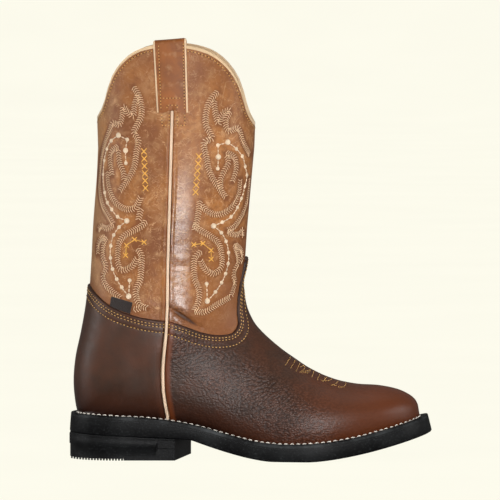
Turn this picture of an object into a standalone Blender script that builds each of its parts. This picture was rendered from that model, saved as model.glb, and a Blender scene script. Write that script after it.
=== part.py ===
"""Right-foot roper boot, standing empty: a hollow leather upper on a stitched rubber sole.

The toe points along +X, the outer (lateral) side of the foot faces -Y and +Z is up. The origin is on the
floor, under the middle of the sole. Sizes are in millimetres and become metres where a mesh is made.
"""
import bmesh
import bpy
import numpy as np
from mathutils import Vector
from mathutils.bvhtree import BVHTree

MM = 0.001
GAP = 0.3

# Sole: lengths along X, heights along Z
SOLE_LENGTH = 300.0
HEEL_ROUND_FROM = -106.0
TOE_ROUND_FROM = 84.0
END_POWER = 2.25
TREAD_FLAT_BACK = 18.0
TREAD_FLAT_FRONT = 48.0
ARCH_RISE = 0.031
TOE_SPRING = 0.0208
RISE_POWER = 1.5
HEEL_SEAT_BREAST_HEIGHT = 16.9
HEEL_SEAT_BACK_HEIGHT = 21.8
BREAST_MEDIAL = -50.4
BREAST_LATERAL = -61.7
WELT_THICKNESS = 4.0
EDGE_LEAN = 1.5
JOINT_LEAN = 1.05
WELT_EDGE_ROUND = 0.9
INSOLE_RISE = 1.2
MARGIN_BEHIND = 5.0

# Upper: the wall and what lies on it
WALL = 2.2
OVERLAY = 1.6
OVERLAY_GAP = 0.3
OVERLAY_LIFT = 1.4
FEATHER_INSET_TOE = 12.0
FEATHER_INSET_HEEL = 8.6
FEATHER_RISE = 0.6
INSOLE_INSET = WALL + 1.0
COLLAR_FRONT_DIP = 276.3
COLLAR_BACK_DIP = 281.2
COLLAR_SCALLOP = 64.8
COLLAR_POWER = 3.6
COLLAR_FLARE = 1.012

# Side seam and pull straps
PIPING_WIDTH = 2.4
PIPING_HEIGHT = 1.7
PIPING_TOP = 284.0
PIPING_LIFT = 0.35
PIPING_SHOULDER = 0.8
SEAM_CLEARANCE = 1.7
PANEL_CORNER = 1.0
FLOOR_CORNER = 0.5
STRAP_WIDTH = 25.0
STRAP_THICKNESS = 2.0
STRAP_CENTRE = -63.5
STRAP_OUTER_END = 286.5
STRAP_INNER_END = 276.0
STRAP_STAND = 1.6
STRAP_PROBE_DROP = 4.0

# Mesh counts, and the places and distances that only the modelling uses
SOLE_STATIONS = 86
HEEL_STATIONS = 41
FEATHER_SAMPLES = 400
FOOT_ROWS = 22
LEG_ROWS = 9
OVERLAY_LEG_ROWS = 6
COLLAR_ROWS = 5
HALF_AROUND = 15
TOE_EVEN_SPAN = 0.25
HEEL_CLOSE_FROM = 0.6
FOOT_KNOT_SPAN = 10.0
VAMP_EDGE_POINTS = 30
COUNTER_EDGE_POINTS = 20
SEAM_POINTS = 14
FLOOR_POINTS = 24
PIPING_STATIONS = 24
STRAP_STATIONS = 5
STRAP_LEG_STEPS = 6
STRAP_FOLD_STEPS = 7
TURN_STEP = 0.001
WELD = 0.001
SHARP_ANGLE = 40.0
CUTTER_REACH = 90.0
PROBE_REACH = 200.0
INSIDE_LEG = (-60.0, 0.0, 120.0)

# station, lateral, medial: the sole's half widths before its two ends are rounded off
SOLE_PLAN = (
    (-150, 38.0, 38.0),
    (-100, 38.0, 38.0),
    (-60, 37.5, 35.5),
    (-30, 38.5, 33.0),
    (0, 45.5, 36.0),
    (30, 53.0, 45.0),
    (60, 54.5, 52.0),
    (90, 48.5, 53.5),
    (120, 40.0, 52.0),
    (150, 33.0, 51.0),
)

# station, height: the top face of the welt, which the upper stands on
WELT_LINE = (
    (-150, 37.8),
    (-110, 36.2),
    (-75, 34.0),
    (-45, 28.9),
    (-16, 21.0),
    (5, 16.2),
    (28, 14.2),
    (53, 15.0),
    (80, 18.5),
    (108, 24.8),
    (135, 32.3),
    (150, 37.4),
)

# seat_x: where the section meets the welt; ridge_x, ridge_z: its point on the instep line; half: its
# widest half width; belly: depth of that widest place, 0 ridge to 1 seat; top, low: roundness above and
# below it; lean: shift of the ridge to the medial side
FOOT_SECTIONS = (
    (138.0, 136.6, 42.5, 0.0, 0.60, 2.0, 2.4, 0.0),
    (136.2, 134.6, 46.3, 10.4, 0.60, 2.0, 2.4, 0.0),
    (131.0, 130.3, 50.0, 18.8, 0.61, 2.0, 2.4, 0.3),
    (122.0, 121.5, 54.2, 27.2, 0.63, 2.0, 2.4, 0.8),
    (106.0, 105.5, 57.6, 36.4, 0.66, 2.0, 2.4, 1.5),
    (86.0, 86.5, 59.0, 42.8, 0.68, 2.0, 2.4, 2.4),
    (64.0, 68.0, 63.2, 45.2, 0.69, 1.95, 2.4, 3.4),
    (40.0, 50.0, 71.2, 43.4, 0.69, 1.9, 2.4, 4.4),
    (14.0, 33.0, 82.3, 38.0, 0.68, 1.85, 2.4, 5.0),
    (-16.0, 18.5, 93.2, 35.0, 0.66, 1.85, 2.3, 5.0),
    (-50.0, 5.6, 105.3, 36.0, 0.62, 1.9, 2.3, 4.4),
    (-90.0, -2.2, 117.5, 38.2, 0.55, 1.9, 2.4, 3.2),
    (-122.0, -6.2, 131.0, 40.4, 0.50, 1.95, 2.5, 2.0),
    (-136.0, -7.2, 141.0, 41.6, 0.47, 2.0, 2.5, 1.2),
    (-141.4, -7.2, 147.0, 42.0, 0.46, 2.0, 2.5, 0.8),
)

# back_x, back_z and front_x, front_z: the section's two ends; half: its half width; the rest as above
LEG_SECTIONS = (
    (-144.6, 60.0, -5.8, 154.0, 42.6, 0.46, 2.0, 2.5, 0.5),
    (-143.2, 82.0, -4.8, 162.0, 43.2, 0.47, 2.0, 2.5, 0.3),
    (-138.4, 105.0, -4.2, 170.0, 44.2, 0.48, 2.0, 2.4, 0.2),
    (-134.2, 130.0, -3.6, 179.0, 45.6, 0.49, 2.05, 2.3, 0.1),
    (-132.0, 158.0, -2.8, 191.0, 47.6, 0.50, 2.1, 2.2, 0.0),
    (-130.0, 195.0, -1.2, 209.0, 50.2, 0.50, 2.15, 2.2, 0.0),
    (-127.2, 231.0, 1.0, 234.0, 52.4, 0.50, 2.2, 2.2, 0.0),
    (-126.0, 256.0, 3.0, 256.0, 53.4, 0.50, 2.2, 2.2, 0.0),
)

# x, z in the side view: the vamp's top edge from the side seam to the tongue peak
VAMP_EDGE = (
    (-66.4, 115.1),
    (-53.2, 110.8),
    (-39.2, 105.4),
    (-21.8, 103.0),
    (-14.4, 104.6),
    (-10.9, 109.8),
    (-10.4, 121.2),
    (-9.5, 138.1),
    (-6.2, 149.1),
    (-3.6, 162.4),
)

# x, z in the side view: the counter's top edge from the side seam to the back of the heel
COUNTER_EDGE = (
    (-68.0, 115.6),
    (-74.6, 115.9),
    (-95.3, 119.8),
    (-113.5, 126.9),
    (-127.5, 137.7),
    (-134.2, 145.0),
)

# x, z in the side view: the side seam that the piping covers, from the strap to the welt
SEAM_LINE = (
    (-62.9, 287.7),
    (-64.6, 231.6),
    (-66.7, 165.5),
    (-68.4, 107.7),
    (-71.3, 73.9),
    (-71.1, 59.9),
    (-67.2, 33.0),
)

# height as a share of the block, inset: the heel's side, with its raised band
HEEL_SIDE = (
    (0.0, 0.6),
    (0.54, 0.6),
    (0.56, 0.0),
    (0.92, 0.0),
    (0.94, 0.6),
    (1.0, 0.6),
)


def curve_through(knots, values, at):
    """Smooth curve through the values at the knots; slopes are central differences."""
    knots = np.asarray(knots, float)
    values = np.asarray(values, float)
    at = np.clip(np.asarray(at, float), knots[0], knots[-1])
    slopes = np.gradient(values, knots, axis=0)
    i = np.clip(np.searchsorted(knots, at, side="right") - 1, 0, len(knots) - 2)
    width = knots[i + 1] - knots[i]
    t = (at - knots[i]) / width
    if values.ndim == 2:
        t = t[..., None]
        width = width[..., None]
    rise = values[i + 1] - values[i]
    bend = (slopes[i] * width - rise) * (1 - t) - (slopes[i + 1] * width - rise) * t
    return values[i] + rise * t + t * (1 - t) * bend


def edge_through(points, count):
    """Evenly spaced points on a smooth curve through the given ones."""
    points = np.asarray(points, float)
    steps = np.linalg.norm(np.diff(points, axis=0), axis=1)
    knots = np.concatenate(([0.0], np.cumsum(steps)))
    return curve_through(knots, points, np.linspace(0.0, knots[-1], count))


def welt_top(x):
    line = np.array(WELT_LINE, float)
    return curve_through(line[:, 0], line[:, 1], x)


def sole_bottom(x):
    """Flat under the ball, rising to the toe and, through the arch, to the level heel seat."""
    x = np.asarray(x, float)
    toe = TOE_SPRING * np.clip(x - TREAD_FLAT_FRONT, 0, None) ** RISE_POWER
    arch = ARCH_RISE * np.clip(TREAD_FLAT_BACK - x, 0, None) ** RISE_POWER
    back = -SOLE_LENGTH / 2
    share = (x - BREAST_MEDIAL) / (back - BREAST_MEDIAL)
    seat = HEEL_SEAT_BREAST_HEIGHT + (HEEL_SEAT_BACK_HEIGHT - HEEL_SEAT_BREAST_HEIGHT) * share
    return toe + np.minimum(arch, seat)


def end_rounding(x):
    """Share of the width that the rounded toe and heel ends leave at x."""
    half = SOLE_LENGTH / 2
    toe = np.clip((x - TOE_ROUND_FROM) / (half - TOE_ROUND_FROM), 0, 1)
    heel = np.clip((HEEL_ROUND_FROM - x) / (HEEL_ROUND_FROM + half), 0, 1)
    return (1 - toe ** END_POWER) ** (1 / END_POWER) * (1 - heel ** END_POWER) ** (1 / END_POWER)


def sole_edge(turns, inset):
    """Points of the sole's plan at the given turns, moved inwards; turn 0 is the toe, pi the heel."""
    plan = np.array(SOLE_PLAN, float)

    def at(turn):
        x = SOLE_LENGTH / 2 * np.cos(turn)
        widths = curve_through(plan[:, 0], plan[:, 1:], x)
        middle = (widths[:, 1] - widths[:, 0]) / 2
        half = (widths[:, 1] + widths[:, 0]) / 2
        return np.column_stack((x, middle + np.sign(np.sin(turn)) * half * end_rounding(x)))

    turns = np.asarray(turns, float)
    along = at(turns + TURN_STEP) - at(turns - TURN_STEP)
    along /= np.linalg.norm(along, axis=1)[:, None]
    inwards = np.column_stack((-along[:, 1], along[:, 0]))
    return at(turns) + inwards * np.broadcast_to(inset, turns.shape)[:, None]


def feather_inset(x):
    share = (x + SOLE_LENGTH / 2) / SOLE_LENGTH
    return FEATHER_INSET_HEEL + (FEATHER_INSET_TOE - FEATHER_INSET_HEEL) * share


def inset_ring(turns, extra):
    """The feather line, where upper and welt meet, moved inwards by extra."""
    return sole_edge(turns, feather_inset(SOLE_LENGTH / 2 * np.cos(turns)) + extra)


def feather_at(x):
    """Middle and half width of the feather line at x."""
    turns = np.linspace(0, np.pi, FEATHER_SAMPLES)
    medial = inset_ring(turns, 0.0)[::-1]
    lateral = inset_ring(2 * np.pi - turns, 0.0)[::-1]
    high = np.interp(x, medial[:, 0], medial[:, 1])
    low = np.interp(x, lateral[:, 0], lateral[:, 1])
    return (high + low) / 2, (high - low) / 2


def section_widths(share, half, seat_half, belly, top, low):
    """Half widths of a section at the given shares of the way from its ridge to its seat."""
    if half <= 0:
        return np.zeros_like(share)
    above = np.clip(1 - np.abs(1 - share / belly) ** top, 0, 1) ** (1 / top)
    kept = min(seat_half / half, 1.0)
    under = np.clip((share - belly) / (1 - belly), 0, 1) ** low
    below = np.clip(1 - (1 - kept ** low) * under, 0, 1) ** (1 / low)
    return half * np.where(share < belly, above, below)


def row_shares(along):
    """Places of a row's points from ridge to seat; along is 0 at the toe, 1 at the heel and more above.

    They are close together where the section turns: at its ridge, and at its back once it is closed. The
    toe's own row is a line, and its first two points are one, where that line runs on into the ridge.
    """
    even = np.linspace(0, 1, HALF_AROUND + 1)
    at_ridge = 1 - np.cos(np.pi / 2 * even)
    at_both = (1 - np.cos(np.pi * even)) / 2
    toe = np.clip(1 - along / TOE_EVEN_SPAN, 0, 1)
    from_tip = np.clip((even - toe * even[1]) / (1 - toe * even[1]), 0, 1)
    heel = np.clip((along - HEEL_CLOSE_FROM) / (1 - HEEL_CLOSE_FROM), 0, 1)
    return (1 - heel) * (toe * from_tip + (1 - toe) * at_ridge) + heel * at_both


def upper_rows():
    """The section table as smooth rows: ridge and seat points, widths and roundness of each."""
    foot = np.array(FOOT_SECTIONS, float)
    leg = np.array(LEG_SECTIONS, float)
    toe, heel = foot[0, 0], foot[-1, 0]
    turn = np.arccos(np.clip((2 * foot[:, 0] - toe - heel) / (toe - heel), -1, 1))
    knots = np.concatenate((turn / np.pi * FOOT_KNOT_SPAN, FOOT_KNOT_SPAN + 1 + np.arange(len(leg))))
    foot_values = np.column_stack((foot[:, 0], welt_top(foot[:, 0]) + FEATHER_RISE, foot[:, 1:]))
    values = np.vstack((foot_values, leg))
    turns = np.linspace(0, np.pi, FOOT_ROWS)
    foot_at = turns / np.pi * FOOT_KNOT_SPAN
    leg_at = np.linspace(FOOT_KNOT_SPAN, knots[-1], LEG_ROWS + 1)[1:]
    rows = curve_through(knots, values, np.concatenate((foot_at, leg_at)))
    seat_x = (toe + heel) / 2 + (toe - heel) / 2 * np.cos(turns)
    rows[:FOOT_ROWS, 0] = seat_x
    rows[:FOOT_ROWS, 1] = welt_top(seat_x) + FEATHER_RISE
    return rows


def upper_grid():
    """Outer face of the upper as rows from the toe to the collar, each from medial seat to lateral seat."""
    grid = []
    for i, row in enumerate(upper_rows()):
        share = row_shares(i / (FOOT_ROWS - 1))
        seat_x, seat_z, ridge_x, ridge_z, half, belly, top, low, lean = row
        middle, seat_half = 0.0, 0.0
        if i < FOOT_ROWS:
            middle, seat_half = feather_at(seat_x)
        if i in (0, FOOT_ROWS - 1):
            seat_half = 0.0
        width = section_widths(share, max(half, seat_half), seat_half, belly, top, low)
        x = ridge_x + (seat_x - ridge_x) * share
        z = ridge_z + (seat_z - ridge_z) * share
        y = middle + lean * (1 - share)
        lateral = np.column_stack((x, y - width, z))
        medial = np.column_stack((x, y + width, z))
        grid.append(np.vstack((medial[:0:-1], lateral)))
    return np.array(grid + collar_rows(grid[-1]))


def collar_height(along):
    """Scalloped collar: along is -1 at the back dip, 0 at the side peaks and 1 at the front dip."""
    dip = (COLLAR_FRONT_DIP + COLLAR_BACK_DIP) / 2 + (COLLAR_FRONT_DIP - COLLAR_BACK_DIP) / 2 * along
    return dip + COLLAR_SCALLOP * (1 - np.abs(along) ** COLLAR_POWER)


def collar_rows(last):
    """Rows from the last level section up to the scalloped edge."""
    middle = np.array([(last[:, 0].max() + last[:, 0].min()) / 2, 0.0])
    depth = (last[:, 0].max() - last[:, 0].min()) / 2
    edge = collar_height((last[:, 0] - middle[0]) / depth)
    rows = []
    for share in np.linspace(0, 1, COLLAR_ROWS + 1)[1:]:
        flare = 1 + (COLLAR_FLARE - 1) * share
        plan = middle + (last[:, :2] - middle) * flare
        rows.append(np.column_stack((plan, last[:, 2] + (edge - last[:, 2]) * share)))
    return rows


def paint(name, colour, roughness):
    material = bpy.data.materials.new(name)
    material.use_nodes = True
    shader = material.node_tree.nodes["Principled BSDF"]
    shader.inputs["Base Color"].default_value = (*colour, 1.0)
    shader.inputs["Roughness"].default_value = roughness
    shader.inputs["Metallic"].default_value = 0.0
    return material


def make_object(name, bm, material):
    """Weld and link a mesh given in millimetres; a closed one is faced outwards."""
    bmesh.ops.remove_doubles(bm, verts=bm.verts, dist=WELD)
    bmesh.ops.dissolve_degenerate(bm, edges=bm.edges, dist=WELD / 10)
    bmesh.ops.scale(bm, vec=(MM, MM, MM), verts=bm.verts)
    if all(edge.is_manifold for edge in bm.edges):
        bmesh.ops.recalc_face_normals(bm, faces=bm.faces)
    mesh = bpy.data.meshes.new(name)
    bm.to_mesh(mesh)
    bm.free()
    mesh.shade_smooth()
    mesh.set_sharp_from_angle(angle=np.radians(SHARP_ANGLE))
    mesh.materials.append(material)
    made = bpy.data.objects.new(name, mesh)
    bpy.context.collection.objects.link(made)
    return made


def add_loops(bm, loops, closed):
    """Vertices of each loop, joined to the next loop by faces."""
    made = [[bm.verts.new(point) for point in loop] for loop in loops]
    for first, second in zip(made, made[1:]):
        count = len(first)
        for i in range(count if closed else count - 1):
            j = (i + 1) % count
            bm.faces.new((first[i], first[j], second[j], second[i]))
    return made


def cap_ladder(bm, ring):
    """Close a ring whose points run from the toe round the heel, with rungs from side to side."""
    count = len(ring)
    for i in range(count // 2):
        corners = (ring[i], ring[i + 1], ring[(count - i - 1) % count], ring[(count - i) % count])
        bm.faces.new(list(dict.fromkeys(corners)))


def upper_surface(offset, rows=None):
    """Open bmesh of the upper's outer face, or its first rows, moved out along its normals."""
    bm = bmesh.new()
    add_loops(bm, upper_grid()[:rows], closed=False)
    bmesh.ops.remove_doubles(bm, verts=bm.verts, dist=WELD)
    bmesh.ops.triangulate(bm, faces=bm.faces, quad_method="SHORT_EDGE")
    bmesh.ops.recalc_face_normals(bm, faces=bm.faces)
    bm.normal_update()
    middle = Vector(INSIDE_LEG)
    probe = max(bm.faces, key=lambda face: face.calc_center_median().y)
    if probe.normal.dot(probe.calc_center_median() - middle) < 0:
        bmesh.ops.reverse_faces(bm, faces=bm.faces)
        bm.normal_update()
    normals = [vert.normal.copy() for vert in bm.verts]
    for vert, normal in zip(bm.verts, normals):
        vert.co += normal * offset
    return bm


def solidify(target, thickness):
    """Wall of the given thickness, built inwards from the face."""
    wall = target.modifiers.new("wall", "SOLIDIFY")
    wall.thickness = thickness * MM
    wall.offset = -1
    wall.use_even_offset = True
    wall.use_quality_normals = True
    wall.use_rim = True


def make_upper(leather):
    upper = make_object("upper", upper_surface(0.0), leather)
    solidify(upper, WALL)
    return upper


def side_prism(name, outline):
    """Cutter through both sides of the boot, from an outline in the side view."""
    bm = bmesh.new()
    rings = [[(x, y, z) for x, z in outline] for y in (-CUTTER_REACH, CUTTER_REACH)]
    near, far = add_loops(bm, rings, closed=True)
    bm.faces.new(near)
    bm.faces.new(far)
    cutter = make_object(name, bm, paint(name, (0.5, 0.5, 0.5), 0.5))
    cutter.hide_render = True
    cutter.display_type = "WIRE"
    return cutter


def seam_x(z):
    line = np.array(SEAM_LINE[::-1], float)
    return curve_through(line[:, 1], line[:, 0], z)


def below_welt(start, stop):
    """Lower bound of an overlay: the welt line with its clearance, from start to stop."""
    x = np.linspace(start, stop, FLOOR_POINTS)
    return np.column_stack((x, welt_top(x) + OVERLAY_LIFT))


def overlay(name, outline, leather):
    """A panel that stands proud of the upper, cut by an outline in the side view."""
    form = upper_surface(OVERLAY_GAP + OVERLAY, FOOT_ROWS + OVERLAY_LEG_ROWS)
    panel = make_object(name, form, leather)
    solidify(panel, OVERLAY)
    cut = panel.modifiers.new("outline", "BOOLEAN")
    cut.operation = "INTERSECT"
    cut.solver = "EXACT"
    cut.use_self = True
    cut.object = side_prism(name + "_outline", outline)
    return panel


def make_vamp(leather):
    edge = edge_through(VAMP_EDGE, VAMP_EDGE_POINTS)
    seam_z = np.linspace(welt_top(SEAM_LINE[-1][0]) + OVERLAY_LIFT, edge[0, 1], SEAM_POINTS)
    seam = np.column_stack((seam_x(seam_z) + SEAM_CLEARANCE, seam_z))
    edge = edge[edge[:, 0] > seam[-1, 0] + PANEL_CORNER]
    front = SOLE_LENGTH / 2
    ahead = np.array([(front, edge[-1, 1]), (front, welt_top(front))])
    floor = below_welt(front - FLOOR_CORNER, seam[0, 0] + FLOOR_CORNER)
    return overlay("vamp", np.vstack((seam, edge, ahead, floor)), leather)


def make_counter(leather):
    edge = edge_through(COUNTER_EDGE, COUNTER_EDGE_POINTS)
    seam_z = np.linspace(welt_top(SEAM_LINE[-1][0]) + OVERLAY_LIFT, edge[0, 1], SEAM_POINTS)
    seam = np.column_stack((seam_x(seam_z) - SEAM_CLEARANCE, seam_z))
    edge = edge[edge[:, 0] < seam[-1, 0] - PANEL_CORNER]
    back = -SOLE_LENGTH / 2 - MARGIN_BEHIND
    behind = np.array([(back, edge[-1, 1]), (back, welt_top(back))])
    floor = below_welt(back + FLOOR_CORNER, seam[0, 0] - FLOOR_CORNER)
    return overlay("counter", np.vstack((seam, edge, behind, floor)), leather)


def wall_probe(upper):
    """Finder of the wall's faces: (x, z, side) gives the outer point, its normal and the inner point."""
    tree = BVHTree.FromObject(upper, bpy.context.evaluated_depsgraph_get())
    far = PROBE_REACH * MM

    def probe(x, z, side):
        inwards = Vector((0, -side, 0))
        outside, normal, _, _ = tree.ray_cast(Vector((x * MM, side * far, z * MM)), inwards)
        inside, _, _, _ = tree.ray_cast(Vector((x * MM, 0, z * MM)), -inwards)
        return np.array(outside) / MM, np.array(normal), np.array(inside) / MM

    return probe


def make_piping(name, side, probe, cord):
    """Bead along the side seam, from under the pull strap to the welt."""
    bottom = welt_top(SEAM_LINE[-1][0]) + FEATHER_RISE + GAP
    heights = np.linspace(bottom, PIPING_TOP, PIPING_STATIONS)
    hits = [probe(seam_x(z), z, side) for z in heights]
    centre = np.array([hit[0] for hit in hits])
    normal = np.array([hit[1] for hit in hits])
    normal[1:-1] = (normal[:-2] + 2 * normal[1:-1] + normal[2:]) / 4
    normal[:, 2] = 0.0
    normal /= np.linalg.norm(normal, axis=1)[:, None]
    across = np.column_stack((-normal[:, 1], normal[:, 0], np.zeros(len(normal))))
    half = PIPING_WIDTH / 2
    foot = GAP + PIPING_LIFT
    shoulder = (PIPING_SHOULDER * half, PIPING_SHOULDER * PIPING_HEIGHT)
    crown = (0.0, PIPING_HEIGHT + foot)
    profile = ((-half, foot), (-shoulder[0], shoulder[1]), crown, shoulder, (half, foot))
    loops = [[c + a * u + n * v for u, v in profile] for c, a, n in zip(centre, across, normal)]
    bm = bmesh.new()
    made = add_loops(bm, loops, closed=True)
    bm.faces.new(made[0])
    bm.faces.new(made[-1])
    return make_object(name, bm, cord)


def make_strap(name, side, probe, leather):
    """Pull strap: a band folded over the collar, its inner leg the longer one."""
    peak = collar_height(0.0)
    stations = STRAP_CENTRE + np.linspace(-0.5, 0.5, STRAP_STATIONS) * STRAP_WIDTH
    probe_top = peak - STRAP_PROBE_DROP
    turns = np.linspace(0, np.pi, STRAP_FOLD_STEPS)
    loops = []
    for x in stations:
        tip_out, _, tip_in = probe(x, probe_top, side)
        crown = peak + STRAP_STAND
        half_wall = abs(tip_out[1] - tip_in[1]) / 2 + GAP
        crown_y = (tip_out[1] + tip_in[1]) / 2
        near, away = [], []
        for z in np.linspace(STRAP_OUTER_END, crown, STRAP_LEG_STEPS, endpoint=False):
            y = probe(x, min(z, probe_top), side)[0][1] + side * GAP
            near.append((x, y, z))
            away.append((x, y + side * STRAP_THICKNESS, z))
        for turn in turns:
            for path, radius in ((near, half_wall), (away, half_wall + STRAP_THICKNESS)):
                y = crown_y + side * radius * np.cos(turn)
                path.append((x, y, crown + radius * np.sin(turn)))
        for z in np.linspace(crown, STRAP_INNER_END, STRAP_LEG_STEPS + 1)[1:]:
            y = probe(x, min(z, probe_top), side)[2][1] - side * GAP
            near.append((x, y, z))
            away.append((x, y - side * STRAP_THICKNESS, z))
        loops.append(near + away[::-1])
    bm = bmesh.new()
    made = add_loops(bm, loops, closed=True)
    for end in (made[0], made[-1]):
        count = len(end)
        for i in range(count // 2 - 1):
            bm.faces.new((end[i], end[i + 1], end[count - i - 2], end[count - i - 1]))
    return make_object(name, bm, leather)


def ring_turns():
    return np.linspace(0, 2 * np.pi, SOLE_STATIONS, endpoint=False)


def with_height(plan, height):
    return np.column_stack((plan, height(plan[:, 0])))


def outsole_top(x):
    return welt_top(x) - WELT_THICKNESS - GAP


def make_outsole(rubber):
    turns = ring_turns()
    bm = bmesh.new()
    lower = with_height(sole_edge(turns, 0.0), sole_bottom)
    higher = with_height(sole_edge(turns, JOINT_LEAN), outsole_top)
    bottom, top = add_loops(bm, (lower, higher), closed=True)
    cap_ladder(bm, bottom)
    cap_ladder(bm, top)
    return make_object("outsole", bm, rubber)


def make_welt(rubber):
    turns = ring_turns()
    round_off = WELT_EDGE_ROUND
    inner = INSOLE_INSET - GAP
    bottom = with_height(sole_edge(turns, JOINT_LEAN), lambda x: welt_top(x) - WELT_THICKNESS)
    side = with_height(sole_edge(turns, EDGE_LEAN), lambda x: welt_top(x) - round_off)
    rim = with_height(sole_edge(turns, EDGE_LEAN + round_off), welt_top)
    inner_top = with_height(inset_ring(turns, inner), welt_top)
    inner_bottom = with_height(inset_ring(turns, inner), lambda x: welt_top(x) - WELT_THICKNESS)
    bm = bmesh.new()
    add_loops(bm, (bottom, side, rim, inner_top, inner_bottom, bottom), closed=True)
    return make_object("welt", bm, rubber)


def make_insole(board):
    turns = ring_turns()
    plan = inset_ring(turns, INSOLE_INSET)
    bm = bmesh.new()
    lower = with_height(plan, lambda x: outsole_top(x) + GAP)
    higher = with_height(plan, lambda x: welt_top(x) + INSOLE_RISE)
    bottom, top = add_loops(bm, (lower, higher), closed=True)
    cap_ladder(bm, bottom)
    cap_ladder(bm, top)
    return make_object("insole", bm, board)


def make_heel(rubber):
    """Heel block with a breast that runs further forward on the medial side."""
    half = SOLE_LENGTH / 2
    start = np.arccos(BREAST_MEDIAL / half)
    stop = 2 * np.pi - np.arccos(BREAST_LATERAL / half)
    turns = np.linspace(start, stop, HEEL_STATIONS)
    loops = []
    for share, inset in HEEL_SIDE:
        plan = sole_edge(turns, inset)
        loops.append(np.column_stack((plan, (sole_bottom(plan[:, 0]) - GAP) * share)))
    bm = bmesh.new()
    made = add_loops(bm, loops, closed=True)
    bm.faces.new(made[0])
    bm.faces.new(made[-1])
    return make_object("heel", bm, rubber)


def main():
    for old in list(bpy.data.objects):
        bpy.data.objects.remove(old, do_unlink=True)
    upper = make_upper(paint("shaft_leather", (0.42, 0.20, 0.07), 0.45))
    brown = paint("oiled_brown_leather", (0.10, 0.035, 0.018), 0.4)
    make_vamp(brown)
    make_counter(brown)
    bpy.context.view_layer.update()
    probe = wall_probe(upper)
    cream = paint("cream_piping", (0.80, 0.66, 0.48), 0.6)
    strap_leather = paint("strap_leather", (0.22, 0.085, 0.03), 0.5)
    for label, side in (("lateral", -1), ("medial", 1)):
        make_piping("side_piping_" + label, side, probe, cream)
        make_strap("pull_strap_" + label, side, probe, strap_leather)
    make_insole(paint("insole_board", (0.55, 0.42, 0.28), 0.8))
    black = paint("black_rubber", (0.012, 0.012, 0.013), 0.6)
    make_welt(black)
    make_outsole(black)
    make_heel(black)


main()
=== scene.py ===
"""Looks of a right-foot roper boot: leather panels, lining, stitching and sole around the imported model.

The shape functions work in millimetres, with the toe along +X, the outer side of the foot towards -Y and +Z
up. Meshes become metres where an object is made.
"""
import math
from functools import lru_cache

import bmesh
import bpy
import numpy as np
from bpy.props import FloatProperty, FloatVectorProperty, PointerProperty
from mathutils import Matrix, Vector
from mathutils.bvhtree import BVHTree
from mathutils.kdtree import KDTree


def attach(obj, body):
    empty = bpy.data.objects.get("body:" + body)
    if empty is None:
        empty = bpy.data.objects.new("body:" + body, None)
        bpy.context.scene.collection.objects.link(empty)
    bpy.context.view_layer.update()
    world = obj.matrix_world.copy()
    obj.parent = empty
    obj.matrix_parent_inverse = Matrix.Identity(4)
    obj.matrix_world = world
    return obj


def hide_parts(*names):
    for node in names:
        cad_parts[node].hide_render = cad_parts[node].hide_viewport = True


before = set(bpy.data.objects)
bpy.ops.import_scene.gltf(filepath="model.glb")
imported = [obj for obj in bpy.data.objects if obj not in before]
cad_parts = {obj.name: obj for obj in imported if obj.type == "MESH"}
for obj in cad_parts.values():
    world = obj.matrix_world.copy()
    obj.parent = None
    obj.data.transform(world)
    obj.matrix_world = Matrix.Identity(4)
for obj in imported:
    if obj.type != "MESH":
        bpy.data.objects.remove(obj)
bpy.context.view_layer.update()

bl_info = {
    "name": "Roper Boot",
    "version": (1, 0, 0),
    "blender": (4, 5, 0),
    "location": "3D View > Sidebar > Boot",
    "description": "Builds the leather, lining, stitching and sole of a roper boot around its packed model",
    "category": "Object",
}

MM = 0.001
LATERAL = -1
MEDIAL = 1

# Sole: lengths along X, heights along Z
SOLE_LENGTH = 300.0
HEEL_ROUND_FROM = -106.0
TOE_ROUND_FROM = 84.0
END_POWER = 2.25
TREAD_FLAT_BACK = 18.0
TREAD_FLAT_FRONT = 48.0
ARCH_RISE = 0.031
TOE_SPRING = 0.0208
RISE_POWER = 1.5
HEEL_SEAT_BREAST_HEIGHT = 16.9
HEEL_SEAT_BACK_HEIGHT = 21.8
BREAST_MEDIAL = -50.4
BREAST_LATERAL = -61.7
WELT_THICKNESS = 4.0
JOINT_LEAN = 1.05
FEATHER_INSET_TOE = 12.0
FEATHER_INSET_HEEL = 8.6
FEATHER_RISE = 0.6

# Collar: the two dips, the rise of the side scallops and the flare at the edge
COLLAR_FRONT_DIP = 276.3
COLLAR_BACK_DIP = 281.2
COLLAR_SCALLOP = 63.2
COLLAR_FLARE = 1.012

# Pull straps: heights of their two ends, and how far each stands above the collar
STRAP_OUTER_END = 286.5
STRAP_INNER_END = 276.0
STRAP_STANDS = {LATERAL: 1.2, MEDIAL: -1.0}

# Mesh counts
FOOT_ROWS = 130
LEG_ROWS = 84
COLLAR_ROWS = 27
HALF_AROUND = 66
SOLE_STATIONS = 300
TOE_EVEN_SPAN = 0.25
HEEL_CLOSE_FROM = 0.6
FOOT_KNOT_SPAN = 10.0
FEATHER_SAMPLES = 400
TURN_STEP = 0.001

# way from a side peak to a dip, share of the scallop's rise left there
COLLAR_PROFILE = (
    (0.0, 1.0),
    (0.15, 0.993),
    (0.3, 0.967),
    (0.45, 0.917),
    (0.564, 0.845),
    (0.66, 0.752),
    (0.74, 0.645),
    (0.8, 0.53),
    (0.85, 0.38),
    (0.885, 0.245),
    (0.92, 0.145),
    (0.96, 0.07),
    (1.0, 0.0),
)

# station, lateral, medial: the sole's half widths before its two ends are rounded off
SOLE_PLAN = (
    (-150, 38.0, 38.0),
    (-100, 38.0, 38.0),
    (-60, 37.5, 35.5),
    (-30, 38.5, 33.0),
    (0, 45.5, 36.0),
    (30, 53.0, 45.0),
    (60, 54.5, 52.0),
    (90, 48.5, 53.5),
    (120, 40.0, 52.0),
    (150, 33.0, 51.0),
)

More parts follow.
